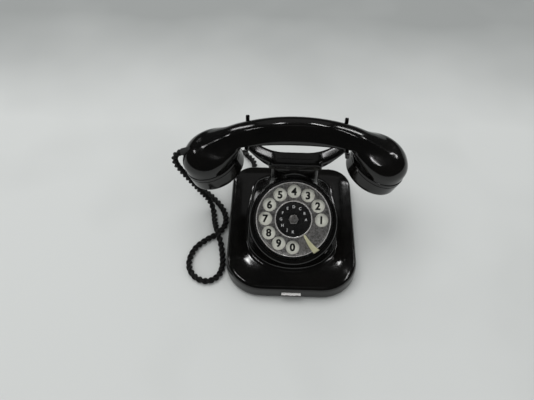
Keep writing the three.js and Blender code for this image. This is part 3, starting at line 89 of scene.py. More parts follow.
class Side(Enum):
    """The two ends of the handset, by the sign of X."""

    MOUTH = -1
    EAR = 1


class Join(Enum):
    """What a solid does with another solid."""

    ADD = "UNION"
    CUT = "DIFFERENCE"
    KEEP_INSIDE = "INTERSECT"


def around(count: int) -> np.ndarray:
    """Evenly spaced angles of one full turn, in radians."""
    return np.linspace(0, FULL_TURN, count, endpoint=False)


def shifted(x: float, y: float, z: float) -> Matrix:
    """The matrix of a shift that is given in millimetres."""
    return Matrix.Translation(Vector((x, y, z)) * MM)


# ---------------------------------------------------------------- plain shapes
class Shape:
    """Builders of plain meshes. Sizes are in millimetres, and the meshes are in metres."""

    @staticmethod
    def superellipse(half_x: float, half_y: float, power: float, angles: np.ndarray) -> np.ndarray:
        """The reach of a superellipse along each angle.

        Args:
            half_x: Half its width.
            half_y: Half its depth.
            power: 2 for an ellipse, more for a squarer outline.
            angles: Angles in radians.

        Returns:
            One distance for each angle.
        """
        across = np.abs(np.cos(angles)) / half_x
        along = np.abs(np.sin(angles)) / half_y
        return (across**power + along**power) ** (-1 / power)

    @staticmethod
    def rounded_box(half_x: float, half_y: float, radius: float, angles: np.ndarray) -> np.ndarray:
        """The reach of a rectangle with round corners along each angle.

        Args:
            half_x: Half its width.
            half_y: Half its depth.
            radius: Its corners' radius.
            angles: Angles in radians.

        Returns:
            One distance for each angle.
        """
        cos, sin = np.abs(np.cos(angles)), np.abs(np.sin(angles))
        flat = np.minimum(half_x / np.maximum(cos, 1e-9), half_y / np.maximum(sin, 1e-9))
        corner_x, corner_y = half_x - radius, half_y - radius
        on_corner = (flat * cos > corner_x) & (flat * sin > corner_y)
        towards = corner_x * cos + corner_y * sin
        inside = np.maximum(towards**2 - corner_x**2 - corner_y**2 + radius**2, 0)
        return np.where(on_corner, towards + np.sqrt(inside), flat)

    @staticmethod
    def quarter(radius: float, steps: int) -> list[Point]:
        """Inset and rise along a quarter round, from its foot to its top."""
        angles = np.linspace(0, QUARTER_TURN, steps + 1)
        return [(radius * (1 - math.cos(a)), radius * math.sin(a)) for a in angles]

    @staticmethod
    def rounded(profile: Sequence[Point], radius: float, steps: int = 4) -> list[Point]:
        """A closed profile with its corners rounded.

        Args:
            profile: The sharp profile's corners.
            radius: The largest radius, which short sides make smaller.
            steps: Steps in each corner.

        Returns:
            The rounded profile.
        """
        points = [Vector(p) for p in profile]
        out: list[Point] = []
        for here, before, after in zip(points, points[-1:] + points[:-1], points[1:] + points[:1]):
            back, ahead = before - here, after - here
            cut = min(radius, back.length * 0.45, ahead.length * 0.45)
            start, end = here + back.normalized() * cut, here + ahead.normalized() * cut
            for step in range(steps + 1):
                t = step / steps
                out.append(tuple(start * (1 - t) ** 2 + here * 2 * t * (1 - t) + end * t**2))
        return out

    @staticmethod
    def linked(name: str, data: bpy.types.ID | None) -> Object:
        """Sets data in the scene as an object of its own.

        Args:
            name: The object's name.
            data: A mesh, curve, text, lamp or camera.

        Returns:
            The new object, at the origin.
        """
        obj = bpy.data.objects.new(name, data)
        bpy.context.scene.collection.objects.link(obj)
        return obj

    @staticmethod
    def piece(name: str, points: np.ndarray, faces: Iterable[Sequence[int]]) -> Object:
        """An object with its faces turned outwards.

        Args:
            name: The piece's name.
            points: Points in metres.
            faces: Corner numbers of each face.

        Returns:
            The new object.
        """
        mesh = bpy.data.meshes.new(name)
        mesh.from_pydata([tuple(p) for p in points], [], [tuple(f) for f in faces])
        made = bmesh.new()
        made.from_mesh(mesh)
        bmesh.ops.remove_doubles(made, verts=made.verts, dist=1e-7)
        bmesh.ops.recalc_face_normals(made, faces=made.faces)
        made.to_mesh(mesh)
        made.free()
        return Shape.linked(name, mesh)

    @staticmethod
    def loft(name: str, rings: Sequence[np.ndarray], closed_along: bool = False) -> Object:
        """A skin over rings of equally many points, closed at both ends.

        Args:
            name: The piece's name.
            rings: Arrays of points, each (count, 3), in millimetres.
            closed_along: Joins the last ring to the first instead of capping both.

        Returns:
            The new object.
        """
        points = np.concatenate([np.asarray(ring, float) for ring in rings]) * MM
        count, rows = len(rings[0]), len(rings)
        faces = []
        for row in range(rows if closed_along else rows - 1):
            here, ahead = row * count, (row + 1) % rows * count
            for k, after in zip(range(count), [*range(1, count), 0]):
                faces.append((here + k, here + after, ahead + after, ahead + k))
        if not closed_along:
            faces += [tuple(range(count))[::-1], tuple(range((rows - 1) * count, rows * count))]
        return Shape.piece(name, points, faces)

    @staticmethod
    def turned(name: str, profile: Sequence[Point], facets: int = 96) -> Object:
        """A solid turned about Z from a closed profile.

        Args:
            name: The piece's name.
            profile: Pairs of radius and height, in order.
            facets: Steps round the axis.

        Returns:
            The new object.
        """
        radii, heights = np.array(profile, float).T
        rings = [np.stack([radii * math.cos(a), radii * math.sin(a), heights], 1) for a in around(facets)]
        return Shape.loft(name, rings, closed_along=True)

    @staticmethod
    def plug(radius: float, low: float, high: float, facets: int) -> Object:
        """A plain round solid about Z, to cut or to join with."""
        return Shape.turned("plug", [(0, low), (radius, low), (radius, high), (0, high)], facets)

    @staticmethod
    def washer(name: str, radii: Point, heights: Point, edge: float, facets: int = 128) -> Object:
        """A flat ring about Z with rounded edges.

        Args:
            name: The piece's name.
            radii: Its inner and outer radius.
            heights: Its underside and its top.
            edge: The radius of its edges.
            facets: Steps round the axis.

        Returns:
            The new object.
        """
        (inner, outer), (low, high) = radii, heights
        sharp = [(inner, low), (outer, low), (outer, high), (inner, high)]
        return Shape.turned(name, Shape.rounded(sharp, edge), facets)

    @staticmethod
    def extruded(name: str, outline: Sequence[Point], low: float, high: float) -> Object:
        """A flat outline in XY, raised from one height to another."""
        return Shape.loft(name, [np.array([[x, y, z] for x, y in outline]) for z in (low, high)])


class Bench:
    """Workshop steps on finished meshes: joining, cutting, smoothing and shading."""

    @staticmethod
    def mesh_of(obj: Object) -> bpy.types.Mesh:
        """A plain mesh of a curve, a text or an object with live modifiers."""
        graph = bpy.context.evaluated_depsgraph_get()
        return bpy.data.meshes.new_from_object(obj.evaluated_get(graph), depsgraph=graph)

    @staticmethod
    def settle(obj: Object) -> Object:
        """Turns an object with live modifiers into a plain mesh, and drops the modifiers.

        Args:
            obj: The object.

        Returns:
            The same object.
        """
        old, obj.data = obj.data, Bench.mesh_of(obj)
        obj.modifiers.clear()
        if old.users == 0:
            bpy.data.meshes.remove(old)
        return obj

    @staticmethod
    def swapped(holder: Object, name: str) -> Object:
        """Puts the plain mesh of a curve or a text in its place.

        Args:
            holder: The curve or text, which is used up.
            name: The new object's name.

        Returns:
            The new object.
        """
        mesh = Bench.mesh_of(holder)
        bpy.data.objects.remove(holder)
        return Shape.linked(name, mesh)

    @staticmethod
    def remove(obj: Object) -> None:
        """Deletes a helper object and its mesh.

        Args:
            obj: The object.
        """
        mesh = obj.data
        bpy.data.objects.remove(obj)
        if mesh.users == 0:
            bpy.data.meshes.remove(mesh)

    @staticmethod
    def combine(obj: Object, tools: Sequence[Object], how: Join) -> Object:
        """Joins or cuts one solid with others, and deletes the others.

        Args:
            obj: The solid that stays.
            tools: The solids that are used up.
            how: What they do to it.

        Returns:
            The changed object.
        """
        for tool in tools:
            step = obj.modifiers.new("step", "BOOLEAN")
            step.operation, step.object, step.solver = how.value, tool, "MANIFOLD"
            Bench.settle(obj)
        for tool in tools:
            Bench.remove(tool)
        return obj

    @staticmethod
    def remesh(obj: Object, voxel: float) -> Object:
        """Rebuilds a solid's skin with even faces.

        Args:
            obj: The solid.
            voxel: The faces' width in millimetres.

        Returns:
            The same object.
        """
        step = obj.modifiers.new("skin", "REMESH")
        step.mode, step.voxel_size, step.adaptivity = "VOXEL", voxel * MM, 0
        return Bench.settle(obj)

    @staticmethod
    def relax(obj: Object, rounds: int, hold: np.ndarray | float = 1.0) -> Object:
        """Smooths a mesh by moving its points towards their neighbours.

        Args:
            obj: The piece.
            rounds: How many times.
            hold: How far each point may move in each round, from 0 to 1.

        Returns:
            The same object.
        """
        mesh, points = obj.data, Bench.points(obj)
        count = len(points)
        edges = np.empty(len(mesh.edges) * 2, np.int32)
        mesh.edges.foreach_get("vertices", edges)
        first, second = edges.reshape(-1, 2).T
        share = np.broadcast_to(0.5 * hold, count)[:, None]
        degree = np.bincount(edges, minlength=count).clip(1)[:, None]
        for _ in range(rounds):
            sums = np.empty_like(points)
            for axis, at in enumerate(points.T):
                sums[:, axis] = np.bincount(first, at[second], count) + np.bincount(second, at[first], count)
            points += share * (sums / degree - points)
        mesh.vertices.foreach_set("co", points.ravel())
        mesh.update()
        return obj

    @staticmethod
    def points(obj: Object) -> np.ndarray:
        """The mesh's points as an array, in metres.

        Args:
            obj: The piece.

        Returns:
            The points, (count, 3).
        """
        found = np.empty(len(obj.data.vertices) * 3)
        obj.data.vertices.foreach_get("co", found)
        return found.reshape(-1, 3)

    @staticmethod
    def shade(obj: Object, sharp_degrees: float = 35) -> Object:
        """Smooth shading, with edges kept sharp where faces meet steeply.

        Args:
            obj: The piece.
            sharp_degrees: The angle past which an edge is sharp.

        Returns:
            The same object.
        """
        obj.data.polygons.foreach_set("use_smooth", [True] * len(obj.data.polygons))
        obj.data.set_sharp_from_angle(angle=math.radians(sharp_degrees))
        return obj

    @staticmethod
    def bevel(obj: Object, width: float, past_degrees: float = 40) -> Object:
        """Breaks the sharp edges of a piece.

        Args:
            obj: The piece.
            width: The width of the broken edge, in millimetres.
            past_degrees: The angle past which an edge is broken.

        Returns:
            The same object.
        """
        step = obj.modifiers.new("edge", "BEVEL")
        step.width, step.segments, step.limit_method = width * MM, 2, "ANGLE"
        step.angle_limit = math.radians(past_degrees)
        return Bench.settle(obj)

    @staticmethod
    def moved(obj: Object, matrix: Matrix) -> Object:
        """Moves a piece's points and leaves its object at the origin.

        Args:
            obj: The piece.
            matrix: The move, in metres.

        Returns:
            The same object.
        """
        obj.data.transform(matrix)
        obj.data.update()
        return obj

    @staticmethod
    def merged(name: str, objs: Sequence[Object]) -> Object:
        """Puts several meshes into one object.

        Args:
            name: The new piece's name.
            objs: The objects that are used up.

        Returns:
            The new object.
        """
        made = bmesh.new()
        for obj in objs:
            made.from_mesh(obj.data)
        mesh = bpy.data.meshes.new(name)
        made.to_mesh(mesh)
        made.free()
        for obj in objs:
            Bench.remove(obj)
        return Shape.linked(name, mesh)


# ---------------------------------------------------------------- node trees
class Tree:
    """A small hand for building node trees."""

    def __init__(self, nodes: bpy.types.Nodes, links: bpy.types.NodeLinks) -> None:
        """Keeps the nodes and links that it adds to."""
        self.nodes, self.links = nodes, links

    def add(self, kind: str, inputs: Inputs | None = None, **settings: object) -> bpy.types.Node:
        """Adds a node.

        Args:
            kind: Blender's name of the node.
            inputs: What each input is set or linked to, by its number or name.
            settings: The node's own properties.

        Returns:
            The new node.
        """
        node = self.nodes.new(kind)
        for key, value in settings.items():
            setattr(node, key, value)
        for key, value in (inputs or {}).items():
            self.feed(node.inputs[key], value)
        return node

    def feed(self, socket: Socket, value: object) -> None:
        """Links an input to another socket, or sets it to a plain value.

        Args:
            socket: The input.
            value: A socket or a value.
        """
        if isinstance(value, Socket):
            self.links.new(value, socket)
        else:
            socket.default_value = value

    def maths(self, operation: str, *values: object) -> Socket:
        """A Math node's result."""
        return self.add("ShaderNodeMath", dict(enumerate(values)), operation=operation).outputs[0]

    def times(self, first: object, second: object) -> Socket:
        """The product of two values."""
        return self.maths("MULTIPLY", first, second)


class Maker(Tree):
    """A Geometry Nodes tree with named sizes, which ends in real meshes of one material."""

    def __init__(self, name: str, sizes: dict[str, float | int], along_curve: bool = False) -> None:
        """Starts the tree.

        Args:
            name: The tree's name.
            sizes: Its named inputs, whole numbers for counts.
            along_curve: Whether it takes the holder's own curve as its first input.
        """
        self.sizes, self.group = sizes, bpy.data.node_groups.new(name, "GeometryNodeTree")
        face = self.group.interface
        if along_curve:
            face.new_socket("Geometry", in_out="INPUT", socket_type="NodeSocketGeometry")
        for label, value in sizes.items():
            kind = "NodeSocketInt" if isinstance(value, int) else "NodeSocketFloat"
            face.new_socket(label, in_out="INPUT", socket_type=kind).default_value = value
        face.new_socket("Geometry", in_out="OUTPUT", socket_type="NodeSocketGeometry")
        super().__init__(self.group.nodes, self.group.links)
        self.given = self.add("NodeGroupInput").outputs

    def polar(self, reach: Socket, angle: Socket) -> Socket:
        """A place in the XY plane at a distance and an angle."""
        across, along = (self.times(reach, self.maths(way, angle)) for way in ("COSINE", "SINE"))
        return self.add("ShaderNodeCombineXYZ", {0: across, 1: along}).outputs[0]

    def store(self, geometry: Socket, name: str, value: Socket) -> Socket:
        """The geometry with a value kept on each of its points.

        Args:
            geometry: The curve or mesh.
            name: The attribute's name.
            value: Its value.

        Returns:
            The geometry.
        """
        kept = {"Geometry": geometry, "Name": name, "Value": value}
        return self.add("GeometryNodeStoreNamedAttribute", kept, data_type="FLOAT", domain="POINT").outputs[0]

    def finish(self, geometry: Socket, finish: Material) -> None:
        """Ends the tree.

        Args:
            geometry: What the tree has made.
            finish: The material that it sets.
        """
        real = self.add("GeometryNodeRealizeInstances", {0: geometry})
        painted = self.add("GeometryNodeSetMaterial", {"Geometry": real.outputs[0], "Material": finish})
        self.add("NodeGroupOutput", {0: painted.outputs[0]})

    def run_on(self, holder: Object) -> Object:
        """Puts the tree on a holder, with its sizes set by the sockets' identifiers.

        Args:
            holder: An object that hasn't been evaluated yet.

        Returns:
            The same object.
        """
        step = holder.modifiers.new("maker", "NODES")
        step.node_group = self.group
        for item in self.group.interface.items_tree:
            if item.item_type == "SOCKET" and item.in_out == "INPUT" and item.name in self.sizes:
                step[item.identifier] = self.sizes[item.name]
        return holder


class Shader(Tree):
    """A material under construction, with its principled shader and the patterns that feed it."""

    def __init__(self, name: str) -> None:
        """Starts an empty material.

        Args:
            name: The material's name.
        """
        self.material = bpy.data.materials.new(name)
        self.material.use_nodes = True
        tree = self.material.node_tree
        tree.nodes.clear()
        super().__init__(tree.nodes, tree.links)
        self.surface = self.add("ShaderNodeBsdfPrincipled")
        self.output = self.add("ShaderNodeOutputMaterial", {"Surface": self.surface.outputs[0]})
        self.place = self.add("ShaderNodeTexCoord").outputs["Object"]

    def set(self, **values: object) -> None:
        """Sets or links the principled shader's inputs.

        Args:
            values: One value or socket for each input, which is named in lower case with underscores.
        """
        sockets = {socket.name.lower().replace(" ", "_"): socket for socket in self.surface.inputs}
        for name, value in values.items():
            self.feed(sockets[name], value)

    def noise(self, size: float, detail: float = 3, rough: float = 0.5, **inputs: object) -> Socket:
        """A noise pattern, from 0 to 1.

        Args:
            size: The width of its patches, in millimetres.
            detail: How many finer layers it has.
            rough: How strong these are.
            inputs: Other inputs, such as Vector.

        Returns:
            Its value.
        """
        look = {"Scale": 1 / (size * MM), "Detail": detail, "Roughness": rough}
        return self.add("ShaderNodeTexNoise", {"Vector": self.place} | inputs | look).outputs[0]

    def band(self, value: Socket, low: float, high: float, out_low: float, out_high: float) -> Socket:
        """A value stretched from one range to another, with its ends held."""
        limits = {0: value, 1: low, 2: high, 3: out_low, 4: out_high}
        return self.add("ShaderNodeMapRange", limits, clamp=True).outputs[0]

    def mix(self, share: object, first: object, second: object) -> Socket:
        """Two colours mixed by a share."""
        return self.add("ShaderNodeMix", {0: share, 6: first, 7: second}, data_type="RGBA").outputs[2]

    def axis(self, vector: Socket, which: int) -> Socket:
        """One of a vector's three parts."""
        return self.add("ShaderNodeSeparateXYZ", {0: vector}).outputs[which]

    def stretched(self, scale: Place, turn: Place = (0.0, 0.0, 0.0)) -> Socket:
        """The place on the piece, scaled and turned, so that a pattern runs along it."""
        given = {"Vector": self.place, "Scale": scale, "Rotation": turn}
        return self.add("ShaderNodeMapping", given).outputs[0]

    def bump(self, height: Socket, depth: float, strength: float, under: Socket | None = None) -> Socket:
        """A bumped normal.

        Args:
            height: The pattern of the relief.
            depth: Its depth in millimetres.
            strength: How much of it shows.
            under: A bump that this one is laid over.

        Returns:
            The normal.
        """
        given: Inputs = {"Height": height, "Distance": depth * MM, "Strength": strength}
        return self.add("ShaderNodeBump", given | ({} if under is None else {"Normal": under})).outputs[0]

    def polish(self, pattern: Socket, first: float, second: float) -> None:
        """Sets a roughness that runs from one value to another with a pattern."""
        self.set(roughness=self.band(pattern, 0.3, 0.7, first, second))

    def relief(self, pattern: Socket, depth: float, strength: float) -> None:
        """Sets a fine relief from a pattern, with its depth in millimetres."""
        self.set(normal=self.bump(pattern, depth, strength))


def grey(level: float, warm: float = 0.0) -> Colour:
    """A grey in linear light, a little warm or cold."""
    return (level * (1 + warm), level, level * (1 - warm), 1.0)


# ---------------------------------------------------------------- finishes
@dataclass(frozen=True)
class Moulding:
    """Polished black phenolic plastic with the fine haze and scratches of long use."""

    name: str = "polished_black_moulding"
    level: float = 0.0018
    rough: float = 0.085
    haze: float = 0.07
    scratched: float = 0.10
    gloss: float = 1.52
    dust: float = 0.006

    def material(self) -> Material:
        """Builds the material.

        Returns:
            The material.
        """
        s = Shader(self.name)
        cloud = s.noise(38, 4, 0.55)
        haze = s.noise(9, 5, 0.65)
        fine = s.noise(1.1, 2, 0.5)
        line = s.stretched((1.0, 0.12, 0.5), (0.3, 0.2, 0.7))
        scratch = s.band(s.noise(0.5, 1, 0.4, Vector=line), 0.70, 0.80, 0.0, 1.0)
        colour = s.mix(s.band(cloud, 0.35, 0.7, 0, 1), grey(self.level, 0.02), grey(self.level * 1.8, 0.12))
        facing_up = s.axis(s.add("ShaderNodeNewGeometry").outputs["Normal"], 2)
        lying = s.band(facing_up, 0.6, 1.0, 0, self.dust)
        dust = s.times(lying, s.band(s.noise(3.5, 6, 0.75), 0.45, 0.75, 0, 1))
        dull = s.band(haze, 0.35, 0.75, self.rough, self.rough + self.haze)
        s.set(base_color=s.mix(dust, colour, grey(0.35, 0.06)), ior=self.gloss)
        s.set(roughness=s.maths("ADD", dull, s.times(scratch, self.scratched)))
        s.set(normal=s.bump(fine, 0.012, 0.30, s.bump(cloud, 0.30, 0.35)))
        return s.material


@dataclass(frozen=True)
class WornNickel:
    """Old nickel plate: grey, mottled and pitted; its lighter version is partly rubbed bright and partly a
    painted highlight.
    """

    name: str = "worn_nickel"
    dark: float = 0.12
    light: float = 0.46
    rough: float = 0.27
    metal: float = 0.84

    def material(self) -> Material:
        """Builds the material.

        Returns:
            The material.
        """
        s = Shader(self.name)
        mottle = s.noise(2.2, 5, 0.72)
        stain = s.noise(14, 3, 0.6)
        pits = s.band(s.noise(0.7, 2, 0.6), 0.60, 0.74, 0, 1)
        plate = s.mix(s.band(mottle, 0.36, 0.64, 0, 1), grey(self.dark, 0.03), grey(self.light, 0.02))
        plate = s.mix(s.band(stain, 0.45, 0.75, 0, 0.35), plate, grey(self.light * 0.75, 0.10))
        s.set(base_color=s.mix(s.times(pits, 0.55), plate, grey(0.05, 0.08)), metallic=self.metal)
        s.polish(mottle, self.rough + 0.12, self.rough)
        s.relief(s.noise(0.9, 4, 0.7), 0.03, 0.5)
        return s.material


@dataclass(frozen=True)
class CatchPlate:
    """Dark steel with painted light: a painted highlight along its upper face and painted shade on the face
    below it. Heights are in millimetres.
    """

    name: str = "rubbed_catch_plate"
    highlight_from: float = 10.3
    highlight_above: float = 11.0
    ragged: float = 0.3

    def material(self) -> Material:
        """Builds the material.

        Returns:
            The material.
        """
        s = Shader(self.name)
        edge = s.band(s.noise(2.5, 4, 0.7), 0.3, 0.7, -self.ragged * MM, self.ragged * MM)
        height = s.maths("ADD", s.axis(s.place, 2), edge)
        # Painted light: above this height the plate is painted bright as a highlight, and below it dark as
        # shade.
        painted_highlight = s.band(height, self.highlight_from * MM, self.highlight_above * MM, 0, 1)
        s.set(base_color=s.mix(painted_highlight, grey(0.035), grey(0.9, 0.02)), metallic=s.band(painted_highlight, 0, 1, 0.2, 0.35))
        s.polish(s.noise(1.5, 4, 0.6), 0.25, 0.4)
        s.relief(s.noise(0.8, 3, 0.6), 0.02, 0.4)
        return s.material


@dataclass(frozen=True)
class Enamel:
    """Stove enamel with a slight orange peel and small stains."""

    name: str
    colour: Colour
    stain: Colour
    rough: float = 0.28

    def material(self) -> Material:
        """Builds the material.

        Returns:
            The material.
        """
        s = Shader(self.name)
        cloud = s.noise(7, 5, 0.65)
        specks = s.band(s.noise(1.3, 3, 0.7), 0.64, 0.78, 0, 0.5)
        base = s.mix(s.band(cloud, 0.42, 0.72, 0, 0.55), self.colour, self.stain)
        s.set(base_color=s.mix(specks, base, self.stain))
        s.polish(cloud, self.rough, self.rough + 0.15)
        s.relief(s.noise(1.6, 2, 0.5), 0.02, 0.4)
        return s.material


@dataclass(frozen=True)
class Metal:
    """A plain working metal, turned, pressed or plated."""

    name: str
    colour: Colour
    rough: float = 0.38
    grain: Place = (1.0, 1.0, 1.0)

    def material(self) -> Material:
        """Builds the material.

        Returns:
            The material.
        """
        s = Shader(self.name)
        brushed = s.noise(0.8, 4, 0.6, Vector=s.stretched(self.grain))
        tarnish = s.band(s.noise(6, 4, 0.6), 0.45, 0.8, 0, 0.6)
        dull = tuple(c * 0.55 for c in self.colour[:3]) + (1.0,)
        s.set(base_color=s.mix(tarnish, self.colour, dull), metallic=1.0)
        s.polish(brushed, self.rough - 0.08, self.rough + 0.14)
        s.relief(brushed, 0.02, 0.4)
        return s.material


@dataclass(frozen=True)
class Matt:
    """A matt piece, such as rubber, waxed paper or varnished tape."""

    name: str
    colour: Colour
    second: Colour
    patch: float = 3.0
    rough: float = 0.75

    def material(self) -> Material:
        """Builds the material.

        Returns:
            The material.
        """
        s = Shader(self.name)
        cloud = s.noise(self.patch, 5, 0.65)
        s.set(base_color=s.mix(s.band(cloud, 0.35, 0.7, 0, 1), self.colour, self.second))
        s.polish(cloud, self.rough - 0.1, self.rough + 0.1)
        s.relief(s.noise(self.patch / 8, 3, 0.6), 0.05, 0.5)
        return s.material


@dataclass(frozen=True)
class CordBraid:
    """Black glazed cotton braid over each strand of the cord, rubbed grey on its high turns."""

    name: str = "black_cotton_braid"
    pitch: float = 0.9
    plaits: int = 5
    depth: float = 0.22

    def material(self) -> Material:
        """Builds the material from the cord's own along and around values.

        Returns:
            The material.
        """
        s = Shader(self.name)
        along = s.add("ShaderNodeAttribute", attribute_name="cord_along").outputs["Fac"]
        about = s.add("ShaderNodeAttribute", attribute_name="cord_around").outputs["Fac"]
        run = s.times(along, FULL_TURN / (self.pitch * MM))
        turn = s.times(about, FULL_TURN * self.plaits)
        one, other = (s.maths("SINE", s.maths(way, run, turn)) for way in ("ADD", "SUBTRACT"))
        plait = s.maths("MAXIMUM", one, other)
        fray = s.noise(0.5, 3, 0.7)
        lift = s.maths("ADD", s.times(plait, 0.5), s.times(fray, 0.6))
        rubbed = s.times(s.band(plait, 0.5, 1.0, 0, 1), s.band(s.noise(5, 4, 0.7), 0.4, 0.7, 0.1, 0.8))
        s.set(base_color=s.mix(rubbed, grey(0.003, 0.02), grey(0.030, 0.05)), specular_ior_level=0.25)
        s.set(sheen_weight=0.03, sheen_roughness=0.4)
        s.polish(fray, 0.38, 0.65)
        s.relief(lift, self.depth, 0.8)
        return s.material


@dataclass(frozen=True)
class Figures:
    """Ink or paint of figures and letters, slightly worn."""

    name: str
    colour: Colour
    most_worn: float = 0.4

    def material(self) -> Material:
        """Builds the material.

        Returns:
            The material.
        """
        s = Shader(self.name)
        wear = s.band(s.noise(0.8, 4, 0.7), 0.55, 0.8, 0, self.most_worn)
        s.set(base_color=s.mix(wear, self.colour, grey(0.05)))
        s.set(roughness=s.band(wear, 0, self.most_worn, 0.4, 0.6))
        return s.material


@dataclass(frozen=True)
class PaperSweep:
    """The pale paper under the telephone, with painted shade that darkens it towards its far side. Places are
    in metres.
    """

    name: str = "pale_paper"
    near: Colour = (0.60, 0.61, 0.60, 1.0)
    far: Colour = (0.315, 0.325, 0.32, 1.0)
    fade_from: float = 0.17
    fade_to: float = 0.42
    uneven: float = 0.12

    def material(self) -> Material:
        """Builds the material.

        Returns:
            The material.
        """
        s = Shader(self.name)
        # Painted shade: the paper's colour fades to the darker far colour with distance behind the telephone.
        fade = s.band(s.axis(s.place, 1), self.fade_from, self.fade_to, 0, 1)
        cloud = s.band(s.noise(180, 2, 0.5), 0.3, 0.7, -self.uneven, self.uneven)
        s.set(base_color=s.mix(s.maths("ADD", fade, cloud), self.near, self.far), roughness=0.8)
        s.relief(s.noise(1.2, 3, 0.6), 0.03, 0.3)
        return s.material


class Finishes:
    """Every finish of the telephone, built once."""

    def __init__(self) -> None:
        """Builds the materials."""
        self.moulding = Moulding().material()
        self.nickel = WornNickel().material()
        # bright_nickel: a lighter nickel for the dial's thin rings, partly rubbed bright and partly a painted
        # highlight; the hidden gongs share it.
        self.bright = WornNickel("bright_nickel", 0.5, 0.9, 0.22, 0.6).material()
        self.catch = CatchPlate().material()
        self.plate = Enamel("cream_enamel", (0.64, 0.64, 0.57, 1), (0.44, 0.43, 0.36, 1)).material()
        self.black = Enamel("black_enamel", grey(0.006), grey(0.014, 0.05), 0.2).material()
        self.stop = Enamel("straw_horn", (0.40, 0.39, 0.25, 1), (0.30, 0.28, 0.16, 1), 0.3).material()
        self.brass = Metal("turned_brass", (0.62, 0.44, 0.18, 1), 0.3).material()
        self.steel = Metal("zinc_plated_steel", (0.45, 0.46, 0.47, 1), 0.42, (1.0, 0.1, 1.0)).material()
        self.alloy = Metal("pressed_alloy", (0.66, 0.66, 0.67, 1), 0.35).material()
        self.rubber = Matt("black_rubber", grey(0.012), grey(0.022), 4, 0.7).material()
        self.tape = Matt("varnished_tape", (0.1, 0.035, 0.012, 1), (0.16, 0.06, 0.02, 1), 1.5, 0.55)
        self.tape = self.tape.material()
        self.paper = Matt("waxed_paper", (0.36, 0.22, 0.09, 1), (0.28, 0.16, 0.07, 1), 6, 0.5).material()
        self.braid = CordBraid().material()
        self.ink = Figures("black_figures", grey(0.004)).material()
        self.paint = Figures("white_letters", grey(0.45)).material()
        self.floor = PaperSweep().material()


def dress(obj: Object, finish: Material) -> None:
    """Gives a piece one material."""
    obj.data.materials.clear()
    obj.data.materials.append(finish)


def fit(obj: Object, body: Body, slot: Slot, finish: Material, *replaces: str) -> None:
    """Dresses a finished piece and sets it on its body.

    Args:
        obj: The piece, at the origin with its place in its mesh.
        body: The body it moves with.
        slot: Not used.
        finish: Its material.
        replaces: The CAD nodes that it stands for.
    """
    dress(obj, finish)
    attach(obj, body.value)
    if replaces:
        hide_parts(*replaces)
    LOG.info("%s: %d faces on %s", obj.name, len(obj.data.polygons), body.value)


@dataclass
class Assembly:
    """A sub-assembly, which takes its materials from the telephone's self.finishes."""

    finishes: Finishes


# ---------------------------------------------------------------- camera, lamps and paper
@dataclass
class Viewpoint:
    """The camera of the picture. Lengths are in millimetres and angles in degrees."""

    place: Place = (-23.94, -363.64, 526.98)
    azimuth: float = -0.629
    elevation: float = 52.154
    roll: float = 1.276
    lens: float = 37.75
    sensor: float = 36.0

    def build(self) -> None:
        """Makes the camera and takes it as the scene's own."""
        a, e, roll = (math.radians(v) for v in (self.azimuth, self.elevation, self.roll))
        ahead = Vector((math.sin(a) * math.cos(e), math.cos(a) * math.cos(e), -math.sin(e)))
        right = ahead.cross(Vector((0, 0, 1))).normalized()
        up = right.cross(ahead)
        turned_right = right * math.cos(roll) + up * math.sin(roll)
        turned_up = up * math.cos(roll) - right * math.sin(roll)
        data = bpy.data.cameras.new("viewpoint")
        data.lens, data.sensor_width, data.sensor_fit = self.lens, self.sensor, "HORIZONTAL"
        data.clip_start, data.clip_end = 0.02, 20
        camera = Shape.linked("viewpoint", data)
        rows = Matrix((turned_right, turned_up, -ahead)).transposed()
        camera.matrix_world = shifted(*self.place) @ rows.to_4x4()
        bpy.context.scene.camera = camera


@dataclass
class Lamp:
    """A long soft lamp that hangs between two directions and faces the telephone.

    Directions are (azimuth, elevation) in degrees, with azimuth 0 at the rear and 90 at the right. Lengths
    are in metres.
    """

    name: str
    start: Point
    end: Point
    width: float
    glow: float
    distance: float = 1.5
    mirrored: bool = True
    aim_height: float = 0.08

    def spot(self, direction: Point) -> Vector:
        """The place at the lamp's distance in a direction."""
        a, e = (math.radians(v) for v in direction)
        return Vector((math.sin(a) * math.cos(e), math.cos(a) * math.cos(e), math.sin(e))) * self.distance

    def build(self) -> None:
        """Makes the lamp, whose power follows from its glow and its size.

        A mirrored lamp shows in polished faces alone, and any other lamp only lights.
        """
        first, last = self.spot(self.start), self.spot(self.end)
        middle = (first + last) / 2
        along = (last - first).normalized()
        across = along.cross(middle.normalized()).normalized()
        data = bpy.data.lights.new(self.name, "AREA")
        data.shape, data.size, data.size_y = "RECTANGLE", self.width, (last - first).length
        data.energy = self.glow * math.pi * data.size * data.size_y
        lamp = Shape.linked(self.name, data)
        rows = Matrix((across, along, across.cross(along))).transposed()
        lamp.matrix_world = Matrix.Translation(Vector((0, 0, self.aim_height)) + middle) @ rows.to_4x4()
        lamp.visible_glossy, lamp.visible_diffuse = self.mirrored, not self.mirrored


